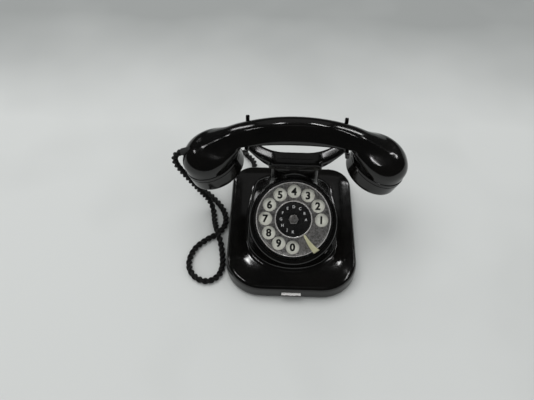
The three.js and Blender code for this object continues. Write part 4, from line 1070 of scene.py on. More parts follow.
@dataclass
class Studio(Assembly):
    """The pale paper, the thin window lights behind the telephone, and the room round it."""

    reach: float = 1600.0
    daylight: float = 0.74
    mirrored: float = 0.03
    lamps: tuple[Lamp, ...] = (
        Lamp("rear_left_window", (-40, 18), (-34, 34), 0.08, 9.0),
        Lamp("rear_right_window", (45, 18), (34, 34), 0.08, 9.0),
        Lamp("left_window", (-59, 27), (-72, 33), 0.05, 14.0),
        Lamp("right_window", (56, 24), (69, 30), 0.05, 14.0),
        Lamp("left_tube", (-78, 52), (-112, 62), 0.06, 16.0),
        Lamp("right_tube", (64, 53), (98, 43), 0.06, 16.0),
        Lamp("left_pane", (-25, 56), (-16, 61), 0.15, 26.0),
        Lamp("right_pane", (20, 53), (42, 55), 0.13, 24.0),
        Lamp("rear_card", (-28, 36), (28, 36), 0.75, 0.14, 1.7),
        Lamp("front_card", (150, 60), (206, 60), 0.12, 0.5, 1.6),
        Lamp("ceiling", (-110, 62), (0, 62), 1.1, 2.3, 1.7, mirrored=False),
    )

    def room(self) -> bpy.types.World:
        """A room of even light that shows only dimly in polished faces.

        Returns:
            The world.
        """
        world = bpy.data.worlds.new("room")
        world.use_nodes = True
        t = Tree(world.node_tree.nodes, world.node_tree.links)
        t.nodes.clear()
        ray = t.add("ShaderNodeLightPath").outputs
        polished = t.maths("MAXIMUM", ray["Is Glossy Ray"], ray["Is Transmission Ray"])
        seen = t.maths("MAXIMUM", ray["Is Camera Ray"], polished)
        strength = t.add("ShaderNodeMapRange", {0: seen, 3: self.daylight, 4: self.mirrored}).outputs[0]
        light = t.add("ShaderNodeBackground", {"Color": (0.98, 1.0, 1.0, 1.0), "Strength": strength})
        t.add("ShaderNodeOutputWorld", {"Surface": light.outputs[0]})
        return world

    def build(self) -> None:
        """Lays the paper, hangs the lamps and sets the room round them."""
        corners = [(x * self.reach, y * self.reach, 0) for x, y in ((-1, -1), (1, -1), (1, 1), (-1, 1))]
        floor = Shape.piece("paper", np.array(corners) * MM, [(0, 1, 2, 3)])
        dress(floor, self.finishes.floor)
        for lamp in self.lamps:
            lamp.build()
            LOG.info("%s: glow %.2f", lamp.name, lamp.glow)
        bpy.context.scene.world = self.room()
        bpy.context.scene.view_settings.view_transform = "Standard"


# ---------------------------------------------------------------- handset cord
@dataclass
class HandsetCord(Assembly):
    """Two braided strands twisted into one cord, laid along its route. Sizes are in millimetres."""

    start: Place
    gland: Place
    radius: float = 2.8
    fullness: float = 1.25
    strand: float = 0.62
    lay_pitch: float = 12.5
    step: float = 0.8
    facets: int = 28
    table: float = 3.0
    lifted_below: float = 20.0
    lifted_over: float = 12.0

    def route(self) -> list[Place]:
        """The points of its route, from the handset to the rear of the base.

        Returns:
            The points, in millimetres.
        """
        t = self.table
        return [
            self.start, (-120.4, 26.0, 99.8), (-122.8, 26.0, 97.6), (-124.8, 26.0, 94.2),
            (-125.5, 26.0, 89.8), (-125.0, 26.1, 84.6), (-122.4, 26.5, 76.4), (-117.2, 27.6, 63.6),
            (-109.6, 29.2, 46.6), (-101.8, 31.2, 29.0), (-96.6, 32.4, 17.6), (-93.6, 31.4, 10.2),
            (-91.2, 28.0, 5.6), (-89.4, 22.4, 3.3), (-86.9, 8.0, 4.2), (-83.6, -4.4, 8.6),
            (-80.2, -14.6, 9.0), (-76.6, -26.6, 4.6), (-74.6, -38.0, t), (-74.0, -50.0, t),
            (-77.6, -61.6, t), (-87.4, -68.4, t), (-99.4, -65.8, t), (-108.6, -55.0, t),
            (-110.0, -41.0, t), (-104.6, -26.6, t), (-93.8, -15.6, t), (-81.6, -6.6, t),
            (-76.0, 2.6, t), (-74.6, 13.0, t), (-79.0, 27.0, t), (-91.6, 43.4, t),
            (-106.4, 58.6, t), (-110.6, 78.0, t), (-102.4, 101.4, t), (-83.4, 119.8, t),
            (-63.6, 119.8, t), (-50.8, 107.4, 4.4), (-45.8, 96.8, 7.0), self.gland,
        ]

    def line(self) -> np.ndarray:
        """The route as an even line, a centripetal spline through its points.

        Returns:
            The line's points, in millimetres.
        """
        p = np.array(self.route())
        p = np.vstack([2 * p[0] - p[1], p, 2 * p[-1] - p[-2]])
        knots = np.r_[0, np.cumsum(np.linalg.norm(np.diff(p, axis=0), axis=1) ** 0.5)]
        dense = []
        for k in range(1, len(p) - 2):
            t = np.linspace(knots[k], knots[k + 1], 40, endpoint=False)[:, None]
            near, at = list(p[k - 1 : k + 3]), knots[k - 1 : k + 3]
            for gap, spans in ((1, (0, 1, 2)), (2, (0, 1)), (1, (1,))):
                shares = [(t - at[i]) / (at[i + gap] - at[i]) for i in spans]
                near = [(1 - share) * near[n] + share * near[n + 1] for n, share in enumerate(shares)]
            dense.append(near[0])
        dense = np.vstack([*dense, p[-2:-1]])
        run = np.r_[0, np.cumsum(np.linalg.norm(np.diff(dense, axis=0), axis=1))]
        even = np.linspace(0, run[-1], int(run[-1] / self.step) + 1)
        return np.stack([np.interp(even, run, dense[:, axis]) for axis in range(3)], 1)

    def strands(self) -> Maker:
        """A tree that sweeps a two-lobed section along a curve and twists it.

        Returns:
            The tree, with named inputs for radius, pitch and facets.
        """
        full = self.radius * self.fullness
        sizes = {"Cord radius": full * MM, "Lay pitch": self.lay_pitch * MM, "Facets": self.facets}
        t = Maker("twisted_strands", sizes, along_curve=True)
        route, radius, pitch, facets = t.given[:4]
        length = t.add("GeometryNodeSplineParameter").outputs["Length"]
        tilt = t.times(t.maths("DIVIDE", length, pitch), FULL_TURN)
        twisted = t.add("GeometryNodeSetCurveTilt", {"Curve": route, "Tilt": tilt}).outputs[0]
        laid = t.store(twisted, "cord_along", length)
        share = t.add("GeometryNodeSplineParameter").outputs["Factor"]
        lobe = t.maths("SUBTRACT", t.maths("FRACT", t.times(share, 2.0)), 0.5)
        angle = t.times(lobe, FULL_TURN / 2)
        strand = t.times(radius, self.strand)
        offset = t.maths("SUBTRACT", radius, strand)
        sideways = t.times(offset, t.maths("SINE", angle))
        square = t.maths("SUBTRACT", t.times(strand, strand), t.times(sideways, sideways))
        across = t.maths("SQRT", t.maths("MAXIMUM", square, 0.0))
        reach = t.maths("ADD", t.times(offset, t.maths("COSINE", angle)), across)
        spot = t.polar(reach, t.times(share, FULL_TURN))
        circle = t.add("GeometryNodeCurvePrimitiveCircle", {"Resolution": facets, "Radius": 1.0}).outputs[0]
        lobed = t.add("GeometryNodeSetPosition", {"Geometry": circle, "Position": spot}).outputs[0]
        section = t.store(lobed, "cord_around", lobe)
        sweep = {"Curve": laid, "Profile Curve": section, "Fill Caps": True}
        swept = t.add("GeometryNodeCurveToMesh", sweep).outputs[0]
        t.finish(swept, self.finishes.braid)
        return t

    def build(self) -> None:
        line = self.line() * MM
        shown = line.copy()
        near_table = np.clip((self.lifted_below * MM - line[:, 2]) / (self.lifted_over * MM), 0, 1)
        shown[:, 2] += self.radius * (self.fullness - 1) * MM * near_table
        curve = bpy.data.curves.new("braided_cord", "CURVE")
        curve.dimensions, curve.twist_mode = "3D", "MINIMUM"
        spline = curve.splines.new("POLY")
        spline.points.add(len(shown) - 1)
        spline.points.foreach_set("co", np.c_[shown, np.ones(len(shown))].ravel())
        guide = self.strands().run_on(Shape.linked("cord_guide", curve))
        cord = Bench.shade(Bench.swapped(guide, "braided_cord"), 180)
        dress(cord, self.finishes.braid)
        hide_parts("handset_cord")
        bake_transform(cord)


# ---------------------------------------------------------------- housing
@dataclass
class Housing(Assembly):
    """The one-piece moulding: a low pan, a tower with the dial's boss, and the cradle's neck."""

    width: float = 140.4
    depth: float = 168.0
    front_corner: float = 40.0
    rear_corner: float = 26.0
    bottom: float = 2.5
    rim: float = 19.0
    roll: float = 5.0
    draft: float = 0.6
    crown: float = 3.0
    wall: float = 3.0
    boss: float = 45.5
    fillet: float = 9.0
    boss_edge: float = 1.8
    tower_rear: float = 58.0
    tower_squareness: float = 4.0
    neck_half: float = 24.5
    neck_front: float = 14.0
    neck_back: float = 31.5
    neck_top: float = 94.0
    neck_squareness: float = 5.5
    flare_side: float = 22.0
    flare_back: float = 36.0
    flare_squareness: float = 3.0
    dial_y: float = -25.0
    dial_z: float = 60.0
    slope: float = math.radians(36.2)
    below_wheel: float = 1.0
    case_hole: float = 41.8
    catch_half: float = 10.3
    catch_low: float = 8.3
    catch_high: float = 11.4
    gland_x: float = 45.0
    gland_z: float = 7.6
    gland_hole: float = 4.1
    gland_length: float = 4.3
    through: float = 2.0
    overlap: float = 1.0
    least_corner: float = 1.0
    side_sweep: int = 3
    back_sweep: float = 2.4
    row_crowding: float = 1.25
    slot_reach: float = 6.0
    mouth_depth: float = 7.0
    voxel: float = 1.0
    blend: float = 7.0
    blend_rounds: int = 26
    polish_rounds: int = 5

    def ring(
        self, reach: np.ndarray, centre_y: float, height: Callable[[np.ndarray], np.ndarray | float]
    ) -> np.ndarray:
        """Points round the axis at given reaches.

        Args:
            reach: One distance for each angle.
            centre_y: The ring's middle.
            height: Gives Z from Y.

        Returns:
            The ring, (count, 3).
        """
        angles = around(len(reach))
        x, y = reach * np.cos(angles), centre_y + reach * np.sin(angles)
        return np.stack([x, y, height(y) + 0 * x], 1)

    def pan(self, shrink: float, bottom: float, facets: int, steps: int) -> Object:
        """The low pan with its rolled rim and slightly crowned top.

        Args:
            shrink: How far its skin lies inside the outer one.
            bottom: Its lowest height.
            facets: Steps round it.
            steps: Steps in each rounding.

        Returns:
            The closed solid.
        """
        angles = around(facets)

        def at(inset: float, z: float) -> np.ndarray:
            """The pan's outline at a height.

            Args:
                inset: How far it lies inside the widest outline.
                z: The height.

            Returns:
                The ring, (count, 3).
            """
            half_x, half_y = self.width / 2 - inset, self.depth / 2 - inset
            corners = (self.front_corner, self.rear_corner)
            front, rear = (Shape.rounded_box(half_x, half_y, corner - inset, angles) for corner in corners)
            return self.ring(np.where(np.sin(angles) < 0, front, rear), 0, lambda y: z)

        round_ = self.roll - shrink / 2
        shoulder = self.rim - shrink - round_
        upright = shrink + self.draft
        rolled = [at(upright + inset, shoulder + rise) for inset, rise in Shape.quarter(round_, steps)]
        edge = upright + round_
        to_middle = self.rear_corner - self.least_corner - edge
        crown = [
            at(edge + to_middle * t, self.rim - shrink + self.crown * math.sin(QUARTER_TURN * t))
            for t in np.linspace(0, 1, steps + 1)[1:]
        ]
        return Shape.loft("pan", [at(shrink, bottom), *rolled, *crown])

    def tower(self, shrink: float, facets: int, steps: int) -> Object:
        """The tower that leans back from a filleted foot to the round boss.

        Args:
            shrink: How far its skin lies inside the outer one.
            facets: Steps round it.
            steps: Steps in each rounding.

        Returns:
            The closed solid.
        """
        angles = around(facets)
        foot = self.rim - shrink
        tan, cos = math.tan(self.slope), math.cos(self.slope)
        boss_depth = self.boss * cos

        def low(outset: float, z: float) -> np.ndarray:
            """The foot's outline at a height, round in front and squarer behind.

            Args:
                outset: How far it lies outside the boss.
                z: The height.

            Returns:
                The ring, (count, 3).
            """
            grown = outset - shrink
            rear_reach = self.tower_rear - self.dial_y + grown
            front = Shape.superellipse(self.boss + grown, boss_depth + grown, 2, angles)
            rear = Shape.superellipse(self.boss + grown, rear_reach, self.tower_squareness, angles)
            return self.ring(np.where(np.sin(angles) < 0, front, rear), self.dial_y, lambda y: z)

        def high(inset: float, drop: float) -> np.ndarray:
            """The boss's round outline, in a plane that lies below the wheel.

            Args:
                inset: How far it lies inside the boss.
                drop: How far the plane lies below the boss's face.

            Returns:
                The ring, (count, 3).
            """
            reach = Shape.superellipse(self.boss - inset - shrink, boss_depth - inset - shrink, 2, angles)
            under = (self.below_wheel + drop + shrink) / cos
            return self.ring(reach, self.dial_y, lambda y: self.dial_z - under + (y - self.dial_y) * tan)

        foot_round, edge_round = (Shape.quarter(radius, steps) for radius in (self.fillet, self.boss_edge))
        skirt = [low(inset, foot + self.fillet - rise) for inset, rise in reversed(foot_round)]
        top, edge = skirt[-1], high(0, self.boss_edge)
        wall = [top + (edge - top) * t for t in np.linspace(0, 1, 2 * steps + 2)[1:-1]]
        lip = [high(inset, self.boss_edge - rise) for inset, rise in edge_round]
        return Shape.loft("tower", [*skirt, *wall, *lip])

    def neck(self, shrink: float, top: float, facets: int, steps: int) -> Object:
        """The slim neck whose flanks and back sweep down to the pan.

        Args:
            shrink: How far its skin lies inside the outer one.
            top: The height of its lid.
            facets: Steps round it.
            steps: Steps up it.

        Returns:
            The closed solid.
        """
        angles = around(facets)
        foot = self.rim + self.overlap
        rings = []
        for share in np.linspace(0, 1, steps + 1) ** self.row_crowding:
            fall = 1 - share
            half = self.neck_half - shrink + self.flare_side * fall**self.side_sweep
            back = self.neck_back - shrink + self.flare_back * fall**self.back_sweep
            front = self.neck_front + shrink - self.wall * fall
            power = self.neck_squareness + (self.flare_squareness - self.neck_squareness) * fall
            reach = Shape.superellipse(half, (back - front) / 2, power, angles)
            z = foot - shrink + (self.neck_top - foot) * share
            rings.append(self.ring(reach, (front + back) / 2, lambda y, z=z: z))
        lid = rings[-1].copy()
        lid[:, 2] = top
        return Shape.loft("neck", [*rings, lid])

    def cord_bush(self) -> Place:
        """The outer end of the bush that the handset's cord runs into."""
        return (-self.gland_x, self.depth / 2 + self.gland_length, self.gland_z)

    def at_dial(self) -> Matrix:
        """The matrix that carries a piece from the dial's own frame, in metres."""
        return shifted(0, self.dial_y, self.dial_z) @ Matrix.Rotation(self.slope, 4, "X")

    def melted(self, forms: Sequence[Object]) -> Object:
        """Joins closed forms into one, and melts the seams where they meet.

        Args:
            forms: The solids, which are used up.

        Returns:
            The joined solid.
        """
        skins = []
        for mesh in (form.data for form in forms):
            faces = [face.vertices[:] for face in mesh.polygons]
            skins.append(BVHTree.FromPolygons([corner.co[:] for corner in mesh.vertices], faces))
        body = Bench.remesh(Bench.combine(forms[0], forms[1:], Join.ADD), self.voxel)
        away = []
        for place in map(Vector, Bench.points(body)):
            away.append(sorted(skin.find_nearest(place)[3] or 1.0 for skin in skins)[1])
        near = np.clip(1 - np.array(away) / (self.blend * MM), 0, 1)
        Bench.relax(body, self.blend_rounds, near * near * (3 - 2 * near))
        return Bench.relax(body, self.polish_rounds)

    def openings(self) -> list[Object]:
        """The cutters of the dial's mouth, the catch's slot and the two bushes' holes.

        Returns:
            The cutters.
        """
        front, rear, reach = -self.depth / 2, self.depth / 2, self.slot_reach
        slot = [(x * self.catch_half, front + y * reach) for x, y in ((-1, -1), (1, -1), (1, 1), (-1, 1))]
        backwards = Matrix.Rotation(-QUARTER_TURN, 4, "X")
        holes = []
        for x in (-self.gland_x, self.gland_x):
            hole = Shape.plug(self.gland_hole, -self.wall - self.through, self.through, 32)
            holes.append(Bench.moved(hole, shifted(x, rear, self.gland_z) @ backwards))
        mouth = Bench.moved(Shape.plug(self.case_hole, -self.mouth_depth, self.through, 128), self.at_dial())
        return [mouth, Shape.extruded("catch_slot", slot, self.catch_low, self.catch_high), *holes]

    def build(self) -> None:
        """Joins the three forms, melts their seams, and hollows the shell."""
        forms = [
            self.pan(0, self.bottom, facets=360, steps=14),
            self.tower(0, facets=240, steps=14),
            self.neck(0, self.neck_top, facets=160, steps=48),
        ]
        body = self.melted(forms)
        hollow = [
            self.pan(self.wall, self.bottom - self.through, facets=96, steps=3),
            self.tower(self.wall, facets=96, steps=3),
            self.neck(self.wall, self.neck_top + self.through, facets=48, steps=10),
        ]
        Bench.combine(body, [*hollow, *self.openings()], Join.CUT)
        body.name = "housing_moulding"
        fit(Bench.shade(body, 50), Body.BASE, Slot.MOULDING, self.finishes.moulding, "housing")


# ---------------------------------------------------------------- dial
@dataclass
class Dial(Assembly):
    """The dial in its own frame, whose +Z is the wheel's normal and whose Z is 0 at the wheel's face."""

    frame: Matrix
    wheel: float = 38.6
    plate: float = 1.4
    bead: float = 1.3
    bead_rise: float = 0.6
    # The rim ring's width and height; its lighter colour is partly wear and partly a painted highlight.
    rubbed: float = 0.9
    rubbed_top: float = 0.75
    hole: float = 7.0
    circle: float = 28.95
    pitch: float = math.radians(30)
    holes: int = 10
    bore: float = 3.3
    clearance: float = 0.3
    figure_radius: float = 38.4
    figure_drop: float = 4.0
    figure_plate: float = 1.0
    figure_height: float = 10.6
    figure_weight: float = 0.28
    figure_bore: float = 4.0
    case: float = 41.5
    case_top: float = -2.0
    case_under: float = -6.0
    cup: float = 36.0
    cup_floor: float = -18.0
    cup_wall: float = 1.2
    pinion_circle: float = 27.5
    pinion_angle: float = math.radians(150)
    pinion_hole: float = 1.5
    label: float = 17.95
    label_low: float = 0.3
    label_top: float = 1.3
    label_ring: float = 1.2
    letter_circle: float = 12.9
    letter_height: float = 3.9
    letter_weight: float = 0.06
    sign_relief: float = 0.06
    sign_lift: float = 0.07
    nut: float = 5.2
    nut_low: float = 1.6
    nut_top: float = 4.2

    def set_in(self, obj: Object, sharp_degrees: float = 35) -> Object:
        """Shades a piece that was made in the dial's frame, and carries it to its place."""
        return Bench.moved(Bench.shade(obj, sharp_degrees), self.frame)

    def drills(self) -> Object:
        """The cutters of the finger holes, set on an arc by a tree with named sizes.

        Returns:
            The cutters, as one mesh.
        """
        sizes = {
            "Holes": self.holes,
            "Circle": self.circle * MM,
            "Pitch": self.pitch,
            "Hole radius": self.hole * MM,
            "Depth": 10 * MM,
        }
        t = Maker("arc_of_holes", sizes)
        count, circle, pitch, radius, depth = t.given[:5]
        spots = t.add("GeometryNodeMeshLine", {"Count": count}).outputs[0]
        place = t.polar(circle, t.times(t.add("GeometryNodeInputIndex").outputs[0], pitch))
        spread = t.add("GeometryNodeSetPosition", {"Geometry": spots, "Position": place}).outputs[0]
        round_ = {"Vertices": 64, "Radius": radius, "Depth": depth}
        drill = t.add("GeometryNodeMeshCylinder", round_).outputs[0]
        row = t.add("GeometryNodeInstanceOnPoints", {"Points": spread, "Instance": drill}).outputs[0]
        t.finish(row, self.finishes.nickel)
        return Bench.settle(t.run_on(Shape.linked("drills", bpy.data.meshes.new("drills"))))

    def finger_wheel(self) -> None:
        """The wheel with its rolled bead, which is partly rubbed bright and partly painted as a highlight,
        and ten smooth-edged holes.
        """
        inner = self.wheel - 2 * self.bead
        arc = np.linspace(0, math.pi, 9)
        bead = [(inner + self.bead * (1 - math.cos(a)), self.bead_rise * math.sin(a)) for a in arc]
        under = [(radius, -self.plate) for radius in (self.wheel, inner, self.bore)]
        disc = Shape.turned("finger_disc", [(self.bore, 0.0), *bead, *under], 160)
        Bench.bevel(Bench.combine(disc, [self.drills()], Join.CUT), 0.25)
        # The lighter ring on the bead is partly wear and partly a painted highlight.
        radii = (self.wheel - self.rubbed, self.wheel)
        rim = Shape.washer("rubbed_rim", radii, (0.1, self.rubbed_top), 0.3, 160)
        fit(self.set_in(rim), Body.DIAL, Slot.NICKEL, self.finishes.bright)
        fit(self.set_in(disc, 40), Body.DIAL, Slot.NICKEL, self.finishes.nickel, "finger_wheel")

    def case_rim(self) -> None:
        """The black cup round the plate, which shows as a dark ring."""
        seat = -self.figure_drop - self.figure_plate - self.clearance
        mouth, inside = self.figure_radius + self.clearance, self.cup - self.cup_wall
        floor = self.cup_floor + self.cup_wall
        outside = [(self.bore, self.cup_floor), (self.cup, self.cup_floor), (self.cup, self.case_under)]
        flange = [(self.case, self.case_under), (self.case, self.case_top), (mouth, self.case_top)]
        hollow = [(mouth, seat), (inside, seat), (inside, floor), (self.bore, floor)]
        profile = Shape.rounded([*outside, *flange, *hollow], 0.5)
        rim = self.set_in(Shape.turned("dial_cup", profile, 128))
        across, up = (self.pinion_circle * f(self.pinion_angle) for f in (math.cos, math.sin))
        hole = Shape.plug(self.pinion_hole, self.cup_floor - 2, self.cup_floor + 3, 24)
        Bench.combine(rim, [Bench.moved(hole, self.frame @ shifted(across, up, 0))], Join.CUT)
        fit(Bench.shade(rim), Body.BASE, Slot.BLACK, self.finishes.black, "dial_case")

    def sign(self, text: str, size: float, middle: Place, weight: float) -> Object:
        """One figure or letter as a thin raised mesh.

        Args:
            text: The character.
            size: The type's size in millimetres.
            middle: Its middle in the dial's frame, in millimetres.
            weight: How much its strokes are thickened, in millimetres.

        Returns:
            The new object, in its place.
        """
        type_ = bpy.data.curves.new("sign", "FONT")
        type_.body, type_.size, type_.align_x, type_.align_y = text, size * MM, "CENTER", "CENTER"
        type_.extrude, type_.offset, type_.resolution_u = self.sign_relief * MM, weight * MM, 8
        letter = Bench.swapped(Shape.linked("sign", type_), "sign")
        corners = Bench.points(letter)
        centre = (corners.min(0) + corners.max(0)) / 2
        place = Matrix.Translation(Vector(middle) * MM - Vector((centre[0], centre[1], -self.sign_lift * MM)))
        return Bench.moved(letter, self.frame @ place)

    def signs(self) -> None:
        """The figures 1 to 0 on the plate, and a plain row of letters on the middle disc.

        Each figure is four copies a little apart, one above another, which draw bold strokes."""
        figures, letters = [], []
        copies = [(-0.16, -0.12, 0), (0.16, -0.12, 0.01), (-0.16, 0.12, 0.02), (0.16, 0.12, 0.03)]
        for step, (figure, letter) in enumerate(zip("1234567890", "ABCDEFGHJK")):
            cos, sin = math.cos(step * self.pitch), math.sin(step * self.pitch)
            for across, up, rise in copies:
                middle = (self.circle * cos + across, self.circle * sin + up, rise - self.figure_drop)
                figures.append(self.sign(figure, self.figure_height, middle, self.figure_weight))
            middle = (self.letter_circle * cos, self.letter_circle * sin, self.label_top)
            letters.append(self.sign(letter, self.letter_height, middle, self.letter_weight))
        fit(Bench.merged("plate_figures", figures), Body.BASE, Slot.BLACK, self.finishes.ink)
        fit(Bench.merged("disc_letters", letters), Body.DIAL, Slot.WHITE, self.finishes.paint)

    def six_sided_nut(self) -> Object:
        """The nut with its domed top, in the dial's frame.

        Returns:
            The nut.
        """
        flats = [(self.nut * math.cos(a), self.nut * math.sin(a)) for a in around(6)]
        nut = Shape.extruded("six_sided_nut", flats, self.nut_low, self.nut_top)
        low, high, full = self.nut_low - 0.6, self.nut_top, self.nut
        shoulder = [(full, high - 0.9), (full - 1, high - 0.2), (full / 2, high), (0, high)]
        dome = Shape.turned("dome", [(0, low), (full, low), *shoulder], 64)
        return Bench.bevel(Bench.combine(nut, [dome], Join.KEEP_INSIDE), 0.15)

    def middle(self) -> None:
        """The black disc, the thin ring round it, and the six-sided nut."""
        low, inner = self.label_low, self.label + self.clearance
        disc = Shape.washer("letter_disc", (self.bore, self.label), (low, self.label_top), 0.35)
        ring = Shape.washer("disc_ring", (inner, inner + self.label_ring), (low, self.label_top + 0.05), 0.55)
        fit(self.set_in(disc), Body.DIAL, Slot.BLACK, self.finishes.black, "centre_label")
        # The thin ring takes the lighter nickel, whose colour partly paints its highlight.
        fit(self.set_in(ring), Body.DIAL, Slot.NICKEL, self.finishes.bright, "label_ring")
        fit(self.set_in(self.six_sided_nut(), 40), Body.DIAL, Slot.NICKEL, self.finishes.nickel, "hub_nut")

    def build(self) -> None:
        """Builds every shown piece of the dial."""
        self.case_rim()
        top, radii = -self.figure_drop, (self.figure_bore, self.figure_radius)
        plate = self.set_in(Shape.washer("figure_plate", radii, (top - self.figure_plate, top), 0.3))
        fit(plate, Body.BASE, Slot.WHITE, self.finishes.plate, "number_plate")
        self.finger_wheel()
        self.middle()
        self.signs()


# ---------------------------------------------------------------- handset
@dataclass
class Handset(Assembly):
    """The arched handle with its two cups and screwed caps."""

    y: float = 26.0
    under: float = 124.0
    height: float = 25.3
    half: float = 14.0
    spread: float = 2.4
    arch: float = 141.0
    half_cups: float = 79.95
    face_z: float = 77.6
    tilt: float = math.radians(22)
    dome: float = 22.0
    squareness: float = 2.4
    cup_bend: float = 0.8
    cup_squareness: float = 2.0
    cup_squaring: float = 0.3
    cup_flat: float = 1.15
    cup_flattening: float = 0.4
    handle_squareness: float = 2.4
    handle_flat: float = 0.70
    handle_spacing: float = 1.07
    cap: float = 30.3
    cap_height: float = 18.5
    cap_edge: float = 4.0
    cap_floor: float = 3.2
    sound_circle: float = 8.0
    sound_hole: float = 1.3
    clearance: float = 0.3
    inside_cap: float = 0.4
    neck: float = 27.0
    neck_wall: float = 2.4
    neck_depth: float = 8.0
    well_top: float = 22.8
    cord_x: float = -118.0
    cord_z: float = 101.0
    cord_tilt: float = math.radians(21.8)
    cord_hole: float = 4.1
    corner: float = 51.5
    lean: float = math.radians(150)
    crispness: float = 10.0
    slice_count: int = 240
    facets: int = 144

    def at_cup(self, side: Side) -> Matrix:
        """The matrix that carries a piece from a cap's own frame, face at z = 0, in metres."""
        place = shifted(side.value * self.half_cups, self.y, self.face_z)
        return place @ Matrix.Rotation(side.value * self.tilt, 4, "Y")

    def cord_bush(self) -> Place:
        """The place in the left cup's wall where the cord comes out."""
        return (self.cord_x, self.y, self.cord_z)

    def keys(self) -> np.ndarray:
        """The slices of the right half that shape it, from the cup to the middle.

        Returns:
            Rows of inner x and z, outer x and z, half depth, power and flat's reach.
        """
        up = np.array([math.sin(self.tilt), math.cos(self.tilt)])
        out = np.array([math.cos(self.tilt), -math.sin(self.tilt)])
        face = np.array([self.half_cups, self.face_z])
        edge, joint = self.cap - self.inside_cap, self.cap_height + self.clearance
        inner = face - out * edge + up * joint
        rows = []
        for share in (0, 0.25, 0.5, 0.75, 1):
            bend, turn = self.cup_bend * share, share * QUARTER_TURN
            across, rise = self.corner - inner[0], self.under - inner[1]
            start = inner[0] + across * bend, inner[1] + rise * bend**self.cup_bend
            round_out = edge * max(math.cos(turn), 0) ** (2 / self.squareness) if share < 1 else 0
            end = face + out * round_out + up * (joint + self.dome * math.sin(turn) ** (2 / self.squareness))
            half = self.half + (edge - self.half) * math.cos(bend * math.radians(80))
            power = self.cup_squareness + self.cup_squaring * share
            rows.append([*start, *end, half, power, self.cup_flat - self.cup_flattening * share])
        for share in (1, 0.8, 0.58, 0.29, 0):
            x = self.half_cups * share**self.handle_spacing
            top = self.under + self.height - self.arch + math.sqrt(self.arch**2 - x**2)
            half = self.half + self.spread * share**3
            corner = self.corner * share
            rows.append([corner, self.under, x, top, half, self.handle_squareness, self.handle_flat])
        return np.array(rows)

    def slices(self) -> np.ndarray:
        """The keys of the whole handset, smoothed into many slices.

        Returns:
            Rows as the keys', from the left cup to the right one.
        """
        right = self.keys()
        left = right.copy()
        left[:, [0, 2]] *= -1
        keys = np.vstack([left, right[-2::-1]])
        gaps = np.linalg.norm(np.diff((keys[:, :2] + keys[:, 2:4]) / 2, axis=0), axis=1)
        at = np.r_[0, np.cumsum(gaps)]
        slope = np.gradient(keys, at, axis=0)
        spots = np.linspace(0, at[-1], self.slice_count)
        which = np.clip(np.searchsorted(at, spots) - 1, 0, len(at) - 2)
        width = (at[which + 1] - at[which])[:, None]
        t = (spots - at[which])[:, None] / width
        return (
            (2 * t**3 - 3 * t**2 + 1) * keys[which]
            + (t**3 - 2 * t**2 + t) * width * slope[which]
            + (3 * t**2 - 2 * t**3) * keys[which + 1]
            + (t**3 - t**2) * width * slope[which + 1]
        )

    def section(self, half: float, rise: float, power: float, flat: float, angles: np.ndarray) -> np.ndarray:
        """A slice's reach, round at the back and flattened to a leaning face in front.

        Args:
            half: Half its depth.
            rise: Half its height.
            power: Its superellipse's power.
            flat: The leaning face's distance, as a share of the round slice's.
            angles: The angles round the slice, with the front at half a turn.

        Returns:
            The distance from the middle at each angle.
        """
        reach = Shape.superellipse(half, rise, power, angles)
        facing = np.cos(angles - self.lean)
        plane = flat * (reach * facing).max() / np.maximum(facing, 0.05)
        return (reach**-self.crispness + plane**-self.crispness) ** (-1 / self.crispness)

    def in_cups(self, radius: float, low: float, high: float) -> list[Object]:
        """A round solid in each cup, to cut or to join with."""
        return [Bench.moved(Shape.plug(radius, low, high, 96), self.at_cup(side)) for side in Side]

    def shell(self) -> None:
        """The handle and both cups as one moulding with a ridge along its front."""
        angles = around(self.facets)
        rings = []
        for x0, z0, x1, z1, half, power, flat in self.slices():
            spine = np.array([x1 - x0, z1 - z0])
            length = np.linalg.norm(spine)
            reach = self.section(half, length / 2, power, flat, angles)
            rise = reach * np.sin(angles)
            across, up = spine / length
            x, z = (x0 + x1) / 2 + across * rise, (z0 + z1) / 2 + up * rise
            rings.append(np.stack([x, self.y + reach * np.cos(angles), z], 1))
        body = Shape.loft("handset_moulding", rings)
        low = self.cap_height + self.clearance - self.neck_depth
        Bench.combine(body, self.in_cups(self.neck, low, self.cap_height + 2), Join.ADD)
        outwards = Matrix.Rotation(-QUARTER_TURN - self.cord_tilt, 4, "Y")
        exit_ = shifted(*self.cord_bush()) @ outwards
        bore = Bench.moved(Shape.plug(self.cord_hole, -14, 3, 48), exit_)
        wells = self.in_cups(self.neck - self.neck_wall, low - 2, self.well_top)
        Bench.combine(body, [*wells, bore], Join.CUT)
        fit(Bench.shade(body, 32), Body.HANDSET, Slot.MOULDING, self.finishes.moulding, "handset_shell")

    def cap_profile(self) -> list[Point]:
        """A cap's profile: a shallow dish, a round edge, a ribbed grip and a hollow.

        Returns:
            Pairs of radius and height, in order.
        """
        inner, height = self.neck + self.clearance, self.cap_height
        bowl = [(12.5, 1), (11.5, 0.9), (9.8, 0.15), (8.8, 0)]
        dish = [(0, 1), *[(self.cap - inset, rise) for inset, rise in bowl]]
        edge = [(self.cap - self.cap_edge + rise, inset) for inset, rise in Shape.quarter(self.cap_edge, 10)]
        groove = [(0, 4.2), (0.35, 3.8), (0.35, 3.2), (0, 2.8), (0, 0.9), (0.25, 0.3), (0.9, 0)]
        grip = [(self.cap - inset, height - drop) for inset, drop in groove]
        hollow = [(inner, height), (inner, self.cap_floor), (0, self.cap_floor)]
        return [*dish, *edge, (self.cap, 6), *grip, *hollow]

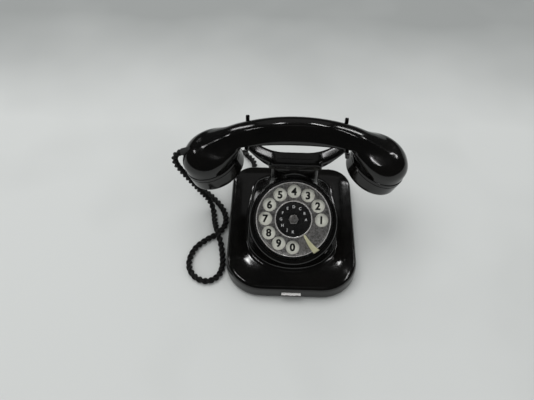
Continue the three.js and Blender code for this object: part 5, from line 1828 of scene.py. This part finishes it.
    def sound_cap(self, side: Side, node: str) -> None:
        """A screwed cap with its sound holes.

        Args:
            side: The end that it closes.
            node: The CAD node that it stands for.
        """
        cap = Shape.turned(node.replace("_cap", "_screw_cap"), self.cap_profile(), 128)
        places = [(self.sound_circle * math.cos(a), self.sound_circle * math.sin(a)) for a in around(6)]
        places.append((0.0, 0.0))
        drills = [Shape.plug(self.sound_hole, -2, 5, 24) for _ in places]
        for drill, (x, y) in zip(drills, places):
            Bench.moved(drill, shifted(x, y, 0))
        Bench.combine(cap, drills, Join.CUT)
        Bench.moved(Bench.shade(cap, 40), self.at_cup(side))
        fit(cap, Body.HANDSET, Slot.MOULDING, self.finishes.moulding, node)

    def build(self) -> None:
        """Builds the shell and both caps."""
        self.shell()
        self.sound_cap(Side.MOUTH, "mouthpiece_cap")
        self.sound_cap(Side.EAR, "earpiece_cap")


# ---------------------------------------------------------------- cradle
@dataclass
class Cradle(Assembly):
    """The moulding on the neck: a hub block, two rising wings, and a horned yoke at each end."""

    housing: Housing
    handset: Handset
    above_neck: float = 0.4
    saddle: float = 7.6
    flat: float = 12.0
    wing: float = 3.6
    wing_narrowing: float = 1.4
    squareness: float = 5.0
    skirt_inset: float = 3.5
    skirt_low: float = 13.6
    skirt_high: float = 2.4
    hub_half: float = 27.0
    hub_front: float = 12.0
    hub_depth: float = 8.0
    hub_height: float = 8.8
    hub_corner: float = 5.0
    below_handle: float = 0.3
    yoke_x: float = 49.5
    yoke_width: float = 4.0
    yoke_height: float = 5.0
    tip_drop: float = 1.5
    rise_power: float = 1.8
    lift_power: float = 1.35
    toe: float = 3.0
    rear_bend: float = 5.0
    front_bend: float = 4.0
    front_heel: float = 1.0
    room: float = 16.4
    horn: float = 3.6
    rear: float = 15.0
    front: float = 3.4
    facets: int = 64
    voxel: float = 0.6
    polish_rounds: int = 5

    def __post_init__(self) -> None:
        """Takes the neck's and the handle's places from the pieces that it fits."""
        front, back = self.housing.neck_front, self.housing.neck_back
        self.neck_y, self.neck_depth = (front + back) / 2, (back - front) / 2
        self.neck_half, self.neck_top = self.housing.neck_half, self.housing.neck_top
        self.handset_y, self.handle_under = self.handset.y, self.handset.under

    def section(self, x: float) -> np.ndarray:
        """The wing's closed section at a distance from the middle.

        Args:
            x: The place along the cradle.

        Returns:
            The ring, (count, 3).
        """
        tip_x, tip_top = self.yoke_x + self.yoke_width / 2, self.handle_under - self.tip_drop
        hub_top, hub_under = self.neck_top + self.saddle, self.neck_top + self.above_neck
        out = abs(x)
        rise = max(0.0, (out - self.flat) / (tip_x - self.flat)) ** self.rise_power
        lift = max(0.0, (out - self.neck_half) / (tip_x - self.neck_half)) ** self.lift_power
        under = hub_under + (tip_top - self.wing - hub_under) * lift
        top = hub_top + (tip_top - hub_top) * rise
        half = self.neck_depth - self.wing_narrowing * lift
        y = self.neck_y + (self.handset_y - self.neck_y) * lift
        angles = around(self.facets)
        reach = Shape.superellipse(half, (top - under) / 2, self.squareness, angles)
        z = (under + top) / 2 + reach * np.sin(angles)
        return np.stack([x + 0 * reach, y + reach * np.cos(angles), z], 1)

    def yoke(self, x: float) -> Object:
        """One yoke with its short front horn and long rear horn.

        Args:
            x: Its place along the cradle.

        Returns:
            The closed solid.
        """
        front, back = self.handset_y - self.room, self.handset_y + self.room
        seat, tip = self.handle_under - self.below_handle, self.horn / 2
        under = seat - self.yoke_height

        def bend(*corners: Point) -> list[Point]:
            """A soft bend from the first of three corners to the last."""
            a, b, c = np.array(corners)
            return [tuple((1 - t) ** 2 * a + 2 * t * (1 - t) * b + t * t * c) for t in np.linspace(0, 1, 9)]

        def cap(y: float, z: float) -> list[Point]:
            """A horn's round end."""
            return [(y + tip * math.cos(a), z + tip * math.sin(a)) for a in np.linspace(0, math.pi, 13)]

        ahead, behind, foot = front - self.horn, back + self.horn, seat - self.front_heel
        outline = [
            *bend((behind - self.toe, under), (behind, under), (behind, seat)),
            *cap(back + tip, seat + self.rear - tip),
            *bend((back, seat + self.rear_bend), (back, seat), (back - self.rear_bend, seat)),
            *bend((front + self.front_bend, seat), (front, seat), (front, seat + self.front - tip)),
            *cap(front - tip, seat + self.front - tip)[1:],
            *bend((ahead, foot), (ahead, under), (ahead + self.toe, under)),
        ]
        half = self.yoke_width / 2
        return Shape.loft("yoke", [np.array([[x + dx, y, z] for y, z in outline]) for dx in (-half, half)])

    def hub(self) -> Object:
        """The block in front of the saddle, with round upper corners.

        Returns:
            The closed solid.
        """
        low, high = self.neck_top + self.above_neck, self.neck_top + self.hub_height
        half, corner = self.hub_half, self.hub_corner
        arc = [(corner * math.cos(a), corner * math.sin(a)) for a in np.linspace(0, QUARTER_TURN, 9)]
        right = [(half - corner + x, high - corner + z) for x, z in arc]
        outline = [(-half, low), (half, low), *right, *[(-x, z) for x, z in reversed(right)]]
        ends = (self.hub_front, self.hub_front + self.hub_depth)
        return Shape.loft("hub", [np.array([[x, y, z] for x, z in outline]) for y in ends])

    def skirt(self) -> Object:
        """The stem that slides in the neck.

        Returns:
            The closed solid.
        """
        angles, inset = around(self.facets), self.skirt_inset
        reach = Shape.superellipse(self.neck_half - inset, self.neck_depth - inset, self.squareness, angles)
        x, y = reach * np.cos(angles), self.neck_y + reach * np.sin(angles)
        heights = (self.neck_top - self.skirt_low, self.neck_top + self.skirt_high)
        return Shape.loft("skirt", [np.stack([x, y, np.full(len(x), z)], 1) for z in heights])

    def build(self) -> None:
        """Joins wings, hub, yokes and skirt, and rounds their edges."""
        tip = self.yoke_x + self.yoke_width / 2
        wings = Shape.loft("wings", [self.section(x) for x in np.linspace(-tip, tip, 121)])
        parts = [self.hub(), self.yoke(-self.yoke_x), self.yoke(self.yoke_x), self.skirt()]
        body = Bench.remesh(Bench.combine(wings, parts, Join.ADD), self.voxel)
        Bench.relax(body, self.polish_rounds)
        body.name = "cradle_moulding"
        fit(Bench.shade(body, 180), Body.CRADLE, Slot.MOULDING, self.finishes.moulding, "cradle_fork")


# ---------------------------------------------------------------- pieces that keep their CAD shape
class Works(Assembly):
    """The works and fittings whose CAD solids are shown as they are, each with its own finish."""

    def build(self) -> None:
        """Dresses every node that is still shown."""
        plan: dict[Material, str] = {
            self.finishes.steel: "base_plate return_spring switch_bracket lever_pin hook_lever ringer_yoke"
            " clapper_arm gong_post_left gong_post_right cradle_plunger",
            self.finishes.brass: "dial_shaft dial_gear governor_pinion governor_drum clapper_ball",
            self.finishes.bright: "gong_left gong_right",
            self.finishes.catch: "front_catch",
            self.finishes.alloy: "mouthpiece_capsule earpiece_capsule",
            self.finishes.rubber: "foot_front_left foot_front_right foot_rear_left foot_rear_right"
            " handset_cord_gland_rear line_cord_inlet handset_cord_gland",
            self.finishes.tape: "ringer_coil_left ringer_coil_right induction_coil",
            self.finishes.paper: "pulse_contacts contact_springs capacitor",
            self.finishes.moulding: "terminal_strip",
            self.finishes.stop: "finger_stop",
        }
        for finish, names in plan.items():
            for name in names.split():
                dress(frame["nodes"][name], finish)
                LOG.info("%s: CAD shape in %s", name, finish.name)


def main() -> None:
    """Builds the camera, the cord and every sub-assembly in order."""
    logging.basicConfig(level=logging.INFO, format="%(name)s %(message)s")
    Viewpoint().build()
    finishes = Finishes()
    housing, handset = Housing(finishes), Handset(finishes)
    cord = HandsetCord(finishes, handset.cord_bush(), housing.cord_bush())
    dial, cradle = Dial(finishes, housing.at_dial()), Cradle(finishes, housing, handset)
    for assembly in (cord, housing, dial, cradle, handset, Works(finishes), Studio(finishes)):
        LOG.info("building %s", type(assembly).__name__)
        assembly.build()


if __name__ == "__main__":
    main()
